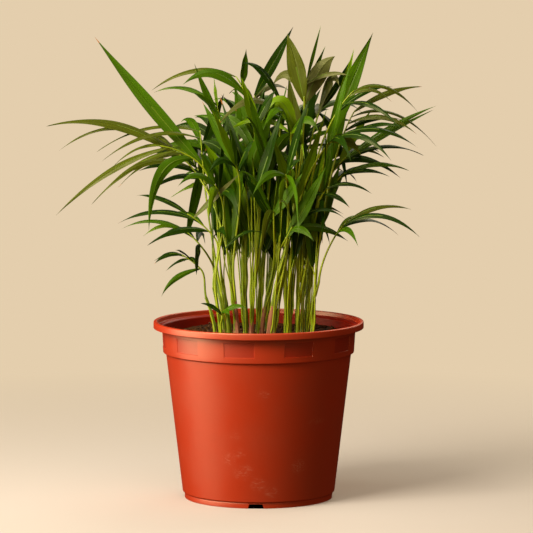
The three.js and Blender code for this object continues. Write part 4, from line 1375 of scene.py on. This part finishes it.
def pot_mesh(materials):
    outline = pot_outline()
    angles = pot_angles()
    turns = np.radians(angles)
    spokes = np.stack([np.sin(turns), -np.cos(turns), np.zeros(len(turns))], axis=1)
    rings, pressed = [], []
    for radius, z in outline[1:-1]:
        is_outside = abs(radius - collar_radius(z)) < 0.05
        share = panel_share(angles, z) if is_outside else np.zeros(len(angles))
        pressed.append(share)
        rings.append(spokes * (radius - PANEL_DEPTH * share)[:, None] + vec(0, 0, z))
    across = np.radians(np.append(angles, angles[0] + 360)) * RIM_RADIUS
    places = spread_places(across, lengths_along(outline[1:-1]))
    low, high = np.array(pressed[:-1]) > 0, np.array(pressed[1:]) > 0
    whole = low & high & np.roll(low, -1, axis=1) & np.roll(high, -1, axis=1)
    # Faces of whole pressed panels take their darker red of painted shade
    looks = np.where(whole, PANEL_PAINTED_SHADE_LOOK, POT_LOOK)
    # Faces inside the pot, below the ledge under the lip, take the darker red of painted shade
    looks[lowest_of_lip(outline) - 1:] = INSIDE_PAINTED_SHADE_LOOK
    shape = Shape()
    first, last = (0, 0, outline[0, 1]), (0, 0, outline[-1, 1])
    shape.add_skin(np.array(rings), places, looks, first, last)
    return shape.make("nursery_pot", materials)


def cut_from(target, cutter):
    """Takes one closed mesh out of another and removes it"""
    cut = target.modifiers.new("cut", "BOOLEAN")
    cut.operation = "DIFFERENCE"
    cut.object = cutter
    cut.solver = "MANIFOLD"
    bpy.context.view_layer.objects.active = target
    bpy.ops.object.modifier_apply(modifier=cut.name)
    bpy.data.objects.remove(cutter)


def add_prism(shape, rings):
    """A closed prism between two outlines that turn clockwise about the way from one to the
    other"""
    sides = len(rings[0])
    start = shape.add_points(rings)
    spots = [(0, 0)] * sides
    for j in range(sides):
        k = (j + 1) % sides
        shape.add_face((start + j, start + k, start + sides + k, start + sides + j), 0, spots[:4])
    shape.add_face([start + j for j in range(sides)][::-1], 0, spots)
    shape.add_face([start + sides + j for j in range(sides)], 0, spots)


def notch_cutter():
    shape = Shape()
    section = [
        (-NOTCH_FOOT_WIDTH / 2, -1), (NOTCH_FOOT_WIDTH / 2, -1),
        (NOTCH_TOP_WIDTH / 2, NOTCH_HEIGHT), (-NOTCH_TOP_WIDTH / 2, NOTCH_HEIGHT),
    ]
    for i in range(NOTCHES):
        turn = NOTCH_START + 360 * i / NOTCHES
        side = around(turn + 90, 1, 0)
        rings = []
        for radius in (FOOT_RADIUS - NOTCH_DEPTH / 2, FOOT_RADIUS + NOTCH_DEPTH / 2):
            rings.append([around(turn, radius, z) + side * x for x, z in section])
        add_prism(shape, rings)
    return shape.make("notch_cutter", [])


def hole_cutter():
    shape = Shape()
    turns = -turns_round(HOLE_SIDES)
    outline = np.stack([np.cos(turns), np.sin(turns), np.zeros(HOLE_SIDES)], axis=1) * HOLE_RADIUS
    for i in range(HOLES):
        middle = around(360 * (i + 0.5) / HOLES, HOLE_RING_RADIUS, FLOOR_LIFT + WALL / 2)
        add_prism(shape, [middle + outline + vec(0, 0, z) for z in (WALL, -WALL)])
    return shape.make("hole_cutter", [])


def pot_piece():
    pot = pot_mesh([
        pot_material("moulded_plastic", POT_COLOUR, POT_SPECULAR, True),
        # Darker, redder panels: painted shade
        pot_material("moulded_plastic_of_panels_painted_shade", POT_PANEL_PAINTED_SHADE_COLOUR, POT_SPECULAR),
        # Darker red inside the pot: painted shade
        pot_material("moulded_plastic_inside_painted_shade", POT_INSIDE_PAINTED_SHADE_COLOUR, POT_INSIDE_SPECULAR),
    ])
    cut_from(pot, notch_cutter())
    cut_from(pot, hole_cutter())
    pot.data.shade_smooth()
    pot.data.set_sharp_from_angle(angle=radians(SHARP_POT))
    ride_as(pot, "pot", "pot")


# Soil


def soil_top(x, y):
    """Height of the source's soil, level round the stems and uneven by the wall"""
    share = np.clip((np.hypot(x, y) - SOIL_LEVEL_RADIUS) / 20, 0, 1)
    waves = 1.3 * np.sin(x / 17 + 1) * np.cos(y / 21) + 0.8 * np.sin(x / 11 - y / 13)
    return SOIL_Z + share * waves


def soil_relief(x, y):
    """Lumps and hollows of the loose soil"""
    lumps = []
    for high, wide, place in SOIL_LUMPS:
        lumps.append(high * noise.noise(Vector((x / wide, y / wide, place))))
    return SOIL_ROUGHNESS * sum(lumps)


def soil_piece(material):
    floor = FLOOR_LIFT + WALL
    edge = collar_radius(SOIL_Z) - WALL - 2 * GAP
    sides = [
        (PAD_RADIUS - 1.4, WALL + GAP),
        (PAD_RADIUS + 0.6, floor + GAP),
        (BODY_FOOT_RADIUS - 2 * WALL - 0.6, floor + GAP),
        (BODY_FOOT_RADIUS - WALL - 0.5, floor + 2.3),
        (BODY_TOP_RADIUS - WALL - 0.5, BODY_TOP_Z + 0.6),
        (COLLAR_FOOT_RADIUS - WALL - 0.5, COLLAR_FOOT_Z + WALL + GAP),
    ]
    turns = turns_round(SOIL_COLUMNS)
    spokes = np.stack([np.sin(turns), -np.cos(turns)], axis=1)
    rings = [np.column_stack([spokes * radius, np.full(SOIL_COLUMNS, z)]) for radius, z in sides]
    for i in range(SOIL_RINGS):
        flat = spokes * edge * (1 - i / SOIL_RINGS)
        tops = soil_top(flat[:, 0], flat[:, 1])
        relief = np.array([soil_relief(x, y) for x, y in flat])
        rings.append(np.column_stack([flat, tops + relief * min(1, 0.3 + i / 5)]))
    places = np.zeros((len(rings), SOIL_COLUMNS + 1, 2))
    looks = np.zeros((len(rings), SOIL_COLUMNS), int)
    shape = Shape()
    middle = (0, 0, SOIL_Z + soil_relief(0, 0))
    shape.add_skin(np.array(rings), places, looks, (0, 0, WALL + GAP), middle)
    ride_as(shape.make("potting_soil", [material], SHARP_SOIL), "soil", "soil")


def crumb_template():
    """Corners and faces of a ball of 80 triangles"""
    ball = bmesh.new()
    bmesh.ops.create_icosphere(ball, subdivisions=2, radius=1)
    points = np.array([corner.co[:] for corner in ball.verts])
    faces = [[corner.index for corner in face.verts] for face in ball.faces]
    ball.free()
    return points, faces


def crumbs_piece(materials):
    """Loose crumbs of soil and bark that lie on the potting soil"""
    draws = Draws(SOIL_SEED)
    points, faces = crumb_template()
    edge = collar_radius(SOIL_Z) - WALL - 1
    shape = Shape()
    for i in range(CRUMBS):
        radius = mix(CRUMB_SMALLEST, CRUMB_LARGEST, draws.draw() ** CRUMB_FINENESS)
        angle = draws.between(0, 360)
        x, y, _ = around(angle, (edge - radius) * math.sqrt(draws.draw()), 0)
        z = soil_top(x, y) + soil_relief(x, y) + radius * draws.between(*CRUMB_LIFT)
        spin = np.array(Euler([draws.between(0, 6) for _ in range(3)]).to_matrix())
        stretch = vec(*[draws.between(*limits) for limits in CRUMB_STRETCH])
        place = Vector((i * CRUMB_NOISE_STEP, 0, 0))
        rough = np.array([noise.noise(Vector(point * CRUMB_NOISE_SCALE) + place) for point in points])
        lump = points * (1 + CRUMB_LUMPS * rough[:, None]) * stretch @ spin.T
        start = shape.add_points(lump * radius + vec(x, y, z))
        look = 1 if draws.draw() < CRUMB_BARK_SHARE else 0
        for face in faces:
            shape.add_face([start + k for k in face], look, [(0, 0)] * 3)
    ride_as(shape.make("soil_crumbs", materials, SHARP_CRUMBS), "soil")


# Stems


def sheath_radii(z, stem_radius, height, turns, mouths):
    """A stem's radii at a height above its foot: slim, with flutes, a flared foot and sheaths
    that swell under their slanting mouths and end there"""
    radii = np.full(len(turns), max(stem_radius * STEM_SLIMNESS, STALK_COLLAR))
    radii = radii + STEM_FLARE * math.exp(-max(z, 0) / STEM_FLARE_HEIGHT)
    for mouth, heading in mouths:
        above = z - (mouth * height + SHEATH_SLANT * np.cos(turns - heading))
        radii = radii + SHEATH_STEP * smooth(SHEATH_EDGE, -SHEATH_EDGE, above)
        off = (above + SHEATH_SWELL_HEIGHT) / SHEATH_SWELL_HEIGHT
        radii = radii + SHEATH_SWELL * np.exp(-(off ** 2))
    radii = radii + STEM_FLUTE_DEPTH * np.cos(STEM_FLUTES * turns + mouths[0][1])
    beyond = max(z - height, 0)
    return mix(radii, STALK_COLLAR, min(beyond / STEM_LAP, 1))


def stem_piece(index, stem, materials):
    """A young stem wrapped in the sheaths of its leaves. The lowest sheath of some stems is
    dead and brown, with a ragged edge."""
    draws = Draws(index + STEM_SEED)
    height = stem[5]
    turns = turns_round(STEM_SIDES)
    mouths = []
    for share in SHEATH_MOUTHS:
        mouths.append((share + draws.between(-SHEATH_SHIFT, SHEATH_SHIFT), draws.between(0, 6.28)))
    edge = [draws.between(-DRY_RAGGEDNESS, DRY_RAGGEDNESS) for _ in turns]
    dry_to = DRY_SHEATHS.get(index, 0) + np.array(edge)
    points, radii, looks = [], [], []
    for z in np.linspace(-STEM_SUNK, height + STEM_LAP, STEM_STATIONS):
        share = min(max(z / height, 0), 1)
        point, ahead, radius = stem_at(stem, share)
        points.append(point + ahead * (z - share * height))
        sheathed = sheath_radii(z, radius, height, turns, mouths)
        radii.append(sheathed + np.where(z < dry_to, DRY_THICKNESS, 0))
        looks.append(np.where(z < dry_to, 1, 0))
    points = np.array(points)
    rings = tube_rings(points, radii, vec(1, 0, 0), STEM_SIDES)
    shape = Shape()
    shape.add_skin(rings, tube_places(points, stem[2], STEM_SIDES), looks, points[0], points[-1])
    node = f"stem_{index + 1:02d}"
    ride_as(shape.make(f"{node}_sheaths", materials, SHARP_STEM), "stem", node)


# Fronds


def stalk_points(stalk):
    """Middle line and radii of a petiole and its rib, from inside the stem to the end"""
    low = np.linspace(0, 1, STALK_STATIONS)
    high = np.linspace(0, 1, RIB_STATIONS + 1)[1:]
    points = np.concatenate([stalk.petiole(low), stalk.rib(high)])
    radii = np.concatenate([
        mix(FROND_BASE_RADIUS, FROND_KNEE_RADIUS, low) + STALK_SWELL * np.exp(-low * STALK_SWELL_FADE),
        mix(FROND_KNEE_RADIUS, FROND_END_RADIUS, high),
    ]) * stalk.girth * PETIOLE_SLIMNESS
    if stalk.is_side:
        depth = FROND_BASE_RADIUS + SIDE_DEPTH
        foot = stalk.start - stalk.side * depth - stalk.stem_ahead * SIDE_SUNK
    else:
        foot = stalk.start - stalk.stem_ahead * STALK_SUNK
    return np.vstack([foot, points]), np.concatenate([radii[:1], radii])


def stalks_piece(name, stalks, materials):
    """Petioles, channelled along their inner sides, and the ribs that they go on as"""
    shape = Shape()
    turns = turns_round(STALK_SIDES)
    channel = CHANNEL_DEPTH * np.exp(-((np.abs(turns - math.pi) / CHANNEL_ANGLE) ** 2))
    section = 1 - channel + STALK_OVAL * np.cos(2 * turns)
    for stalk in stalks:
        points, radii = stalk_points(stalk)
        rings = tube_rings(points, radii[:, None] * section, stalk.side, STALK_SIDES)
        places = tube_places(points, FROND_KNEE_RADIUS, STALK_SIDES)
        looks = np.zeros((len(points), STALK_SIDES), int)
        tip = points[-1] + unit(points[-1] - points[-2]) * STALK_TIP
        shape.add_skin(rings, places, looks, points[0], tip)
    ride_as(shape.make(f"{name}_stalk", materials, SHARP_STALK), "stem")


def blade_width(u):
    """Half width of a finer leaflet along its length, as a share of the fullest"""
    grows = BLADE_ROOT + (1 - BLADE_ROOT) * np.sin(np.clip(u / LEAF_FULLEST, 0, 1) * math.pi / 2)
    wanes = np.cos(np.clip((u - LEAF_FULLEST) / (1 - LEAF_FULLEST), 0, 1) * math.pi / 2) ** BLADE_TAPER
    return np.where(u < LEAF_FULLEST, grows, wanes)


def add_blade(shape, leaflet, draws, shade, is_dry):
    """A thin pleated blade folded along its midrib, with a green of its own"""
    section = np.array(WIDE_SECTION if leaflet.width >= WIDE_BLADE else NARROW_SECTION)
    count = max(BLADE_FEWEST_STATIONS, math.ceil(leaflet.length / BLADE_STATION))
    u = 1 - (1 - np.arange(count) / count) ** BLADE_CROWDING
    points, ahead, across, down = leaflet.places(u)
    is_upright = leaflet.arch < UPRIGHT_ARCH
    fold = draws.between(*(UPRIGHT_FOLDS if is_upright else ARCHED_FOLDS))
    twist = (UPRIGHT_TWIST if is_upright else ARCHED_TWIST) * draws.between(-1, 1)
    phase = draws.between(0, 2 * math.pi)
    waves = draws.between(*MARGIN_WAVES)
    half = leaflet.width / 2 * blade_width(u)
    turn = (twist * u * u)[:, None]
    sideways = across * np.cos(turn) - down * np.sin(turn)
    upward = -(down * np.cos(turn) + across * np.sin(turn))
    pleat = PLEAT_DEPTH * leaflet.width * np.where(np.arange(len(section)) % 2 == 0, 1, -1)
    pleat[[0, -1]] *= 0.5
    rise = (
        -fold * np.abs(section)[None, :] * half[:, None]
        + pleat[None, :] * smooth(*PLEATS_RISE, u)[:, None] * smooth(*PLEATS_FALL, u)[:, None]
        + (MARGIN_WAVE * leaflet.width * np.sin(u * waves * 2 * math.pi + phase))[:, None]
        * section[None, :] ** 3
    )
    thick = mix(BLADE_THICKNESS, BLADE_MARGIN, np.abs(section))[None, :] / 2
    thick = thick * mix(BLADE_ROOT_THICKENS, 1, smooth(0, BLADE_ROOT_REACH, u))[:, None]
    level = points[:, None] + sideways[:, None] * (section[None, :] * half[:, None])[..., None]
    top = level + upward[:, None] * (rise + thick)[..., None]
    bottom = level + upward[:, None] * (rise - thick)[..., None]
    rings = np.concatenate([top, bottom[:, ::-1]], axis=1)
    spread = np.concatenate([section, section[::-1], section[:1]]) * half.max()
    places = spread_places(spread, u * leaflet.length)
    looks = blade_looks(shade, len(section), u, draws, is_dry)
    shape.add_skin(rings, places, looks, points[0] - ahead[0] * BLADE_ROOT_SUNK, leaflet.tip)


def blade_looks(shade, columns, u, draws, is_dry):
    """Each face's look: a green for the upper face, its paler one beneath, a pale midrib in
    the lower half, and on some leaflets a dry tip"""
    dry_from = draws.between(*DRY_TIP_FROM) if is_dry or draws.draw() < DRY_TIP_SHARE else 2
    looks = np.full((len(u), 2 * columns), 2 * shade)
    looks[:, columns:] += 1
    middle = columns // 2 - 1
    ribbed = u < RIB_SHOWS
    looks[ribbed, middle] = RIB_LOOK
    looks[ribbed, columns + middle] = RIB_LOOK
    looks[u > dry_from] = DRY_LOOK
    return looks


def leaf_shade(leaflet, draws, frond, place):
    """Which of the greens a leaf has: the one seen in the photograph, or else one by chance"""
    # Greens listed by leaf are partly painted light and shade
    seen = GREENS_WITH_PAINTED_LIGHT_SEEN.get(frond, "")[place:place + 1]
    for shade, (name, _, _) in enumerate(LEAF_GREENS):
        if name[0] == seen:
            return shade
    shares = UPRIGHT_SHARES if leaflet.arch < UPRIGHT_ARCH else ARCHED_SHARES
    return int(np.searchsorted(shares, draws.draw()))


def leaflets_piece(name, leaflets, materials, draws, frond=0):
    """The leaflets of one frond, by its number, or of young fronds"""
    shape = Shape()
    for place, leaflet in enumerate(leaflets):
        shade = leaf_shade(leaflet, draws, frond, place)
        add_blade(shape, leaflet, draws, shade, (frond, place) in DRY_TIPS_SEEN)
    nodes = [name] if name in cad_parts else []
    ride_as(shape.make(f"{name}_leaflets", materials, SHARP_LEAF), "leaf", *nodes)


def leaf_materials():
    """An upper and an under face for each green, then a midrib and a dry tip"""
    made = []
    for name, upper, under in LEAF_GREENS:
        made.append(leaf_material(f"{name}_upper_face", upper, LEAF_UPPER_ROUGHNESS))
        made.append(leaf_material(f"{name}_under_face", under, LEAF_UNDER_ROUGHNESS))
    made.append(stalk_material("midrib", RIB_LIGHT, RIB_DARK, RIB_ROUGHNESS))
    made.append(dry_material("dry_tip", TIP_LIGHT, TIP_DARK))
    return made


def palm_pieces():
    stem_looks = [
        stalk_material("green_sheath", STEM_LIGHT, STEM_DARK, STEM_ROUGHNESS),
        dry_material("dead_sheath", SHEATH_LIGHT, SHEATH_DARK),
    ]
    for i, stem in enumerate(STEMS):
        stem_piece(i, stem, stem_looks)
    crowd, stalks, leaflets = grow()
    grow_finer(crowd, stalks, leaflets)
    fronds = []
    for i, (stalk, own) in enumerate(zip(stalks, leaflets), start=1):
        fronds.append((f"frond_{i:02d}", [stalk], own, i))
    for i, (stalk, own) in enumerate(grow_seen(crowd), start=len(FRONDS) + 1):
        fronds.append((f"finer_frond_{i}", [stalk], own, i))
    for i, (found, own) in enumerate(zip(*grow_young(crowd)), start=1):
        if own:
            fronds.append((f"young_fronds_{i:02d}", found, own, 0))
    stalk_looks = [stalk_material("petiole", STALK_LIGHT, STALK_DARK, STALK_ROUGHNESS)]
    leaf_looks = leaf_materials()
    draws = Draws(SHADE_SEED)
    for name, found, own, number in fronds:
        stalks_piece(name, found, stalk_looks)
        leaflets_piece(name, own, leaf_looks, draws, number)


# Stage


def add_floor():
    bpy.ops.mesh.primitive_circle_add(vertices=FLOOR_SIDES, radius=FLOOR_RADIUS, fill_type="NGON")
    floor = bpy.context.object
    floor.name = "floor"
    floor.data.materials.append(floor_material())
    floor.visible_diffuse = False
    floor.visible_glossy = False


def place_in_scene(name, data, place, target):
    """A light or camera at a place, which faces a target"""
    made = bpy.data.objects.new(name, data)
    bpy.context.scene.collection.objects.link(made)
    made.location = Vector(place)
    made.rotation_euler = (Vector(target) - Vector(place)).to_track_quat("-Z", "Y").to_euler()
    return made


def out_from(target, azimuth, elevation, distance):
    """A place at a distance from a target. The azimuth is from the front, and grows to the
    right."""
    level = distance * math.cos(radians(elevation))
    return vec(*target) + around(azimuth, level, distance * math.sin(radians(elevation)))


def add_light(name, azimuth, elevation, distance, width, power, colour):
    """A square soft light"""
    light = bpy.data.lights.new(name, "AREA")
    light.shape = "SQUARE"
    light.size = width
    light.energy = power
    light.color = colour
    place_in_scene(name, light, out_from(LIGHT_TARGET, azimuth, elevation, distance), LIGHT_TARGET)


def add_world():
    world = bpy.data.worlds.new("studio")
    bpy.context.scene.world = world
    world.use_nodes = True
    shade = world.node_tree.nodes["Background"]
    shade.inputs["Color"].default_value = WORLD_COLOUR
    shade.inputs["Strength"].default_value = WORLD_STRENGTH
    world.cycles_visibility.glossy = False


def add_camera():
    lens = bpy.data.cameras.new("camera")
    lens.sensor_width = CAMERA_SENSOR
    lens.lens = CAMERA_LENS
    lens.clip_end = CAMERA_REACH
    place = out_from(CAMERA_TARGET, 0, CAMERA_ELEVATION, CAMERA_DISTANCE) * MM
    bpy.context.scene.camera = place_in_scene("camera", lens, place, vec(*CAMERA_TARGET) * MM)


def main():
    add_camera()
    add_world()
    for light in LIGHTS:
        add_light(*light)
    add_floor()
    pot_piece()
    soil = soil_material("potting_soil", SOIL_LIGHT, SOIL_DARK)
    soil_piece(soil)
    crumbs_piece([soil, dry_material("bark_crumb", CRUMB_LIGHT, CRUMB_DARK)])
    palm_pieces()
    bpy.context.scene.view_settings.view_transform = "Standard"


main()
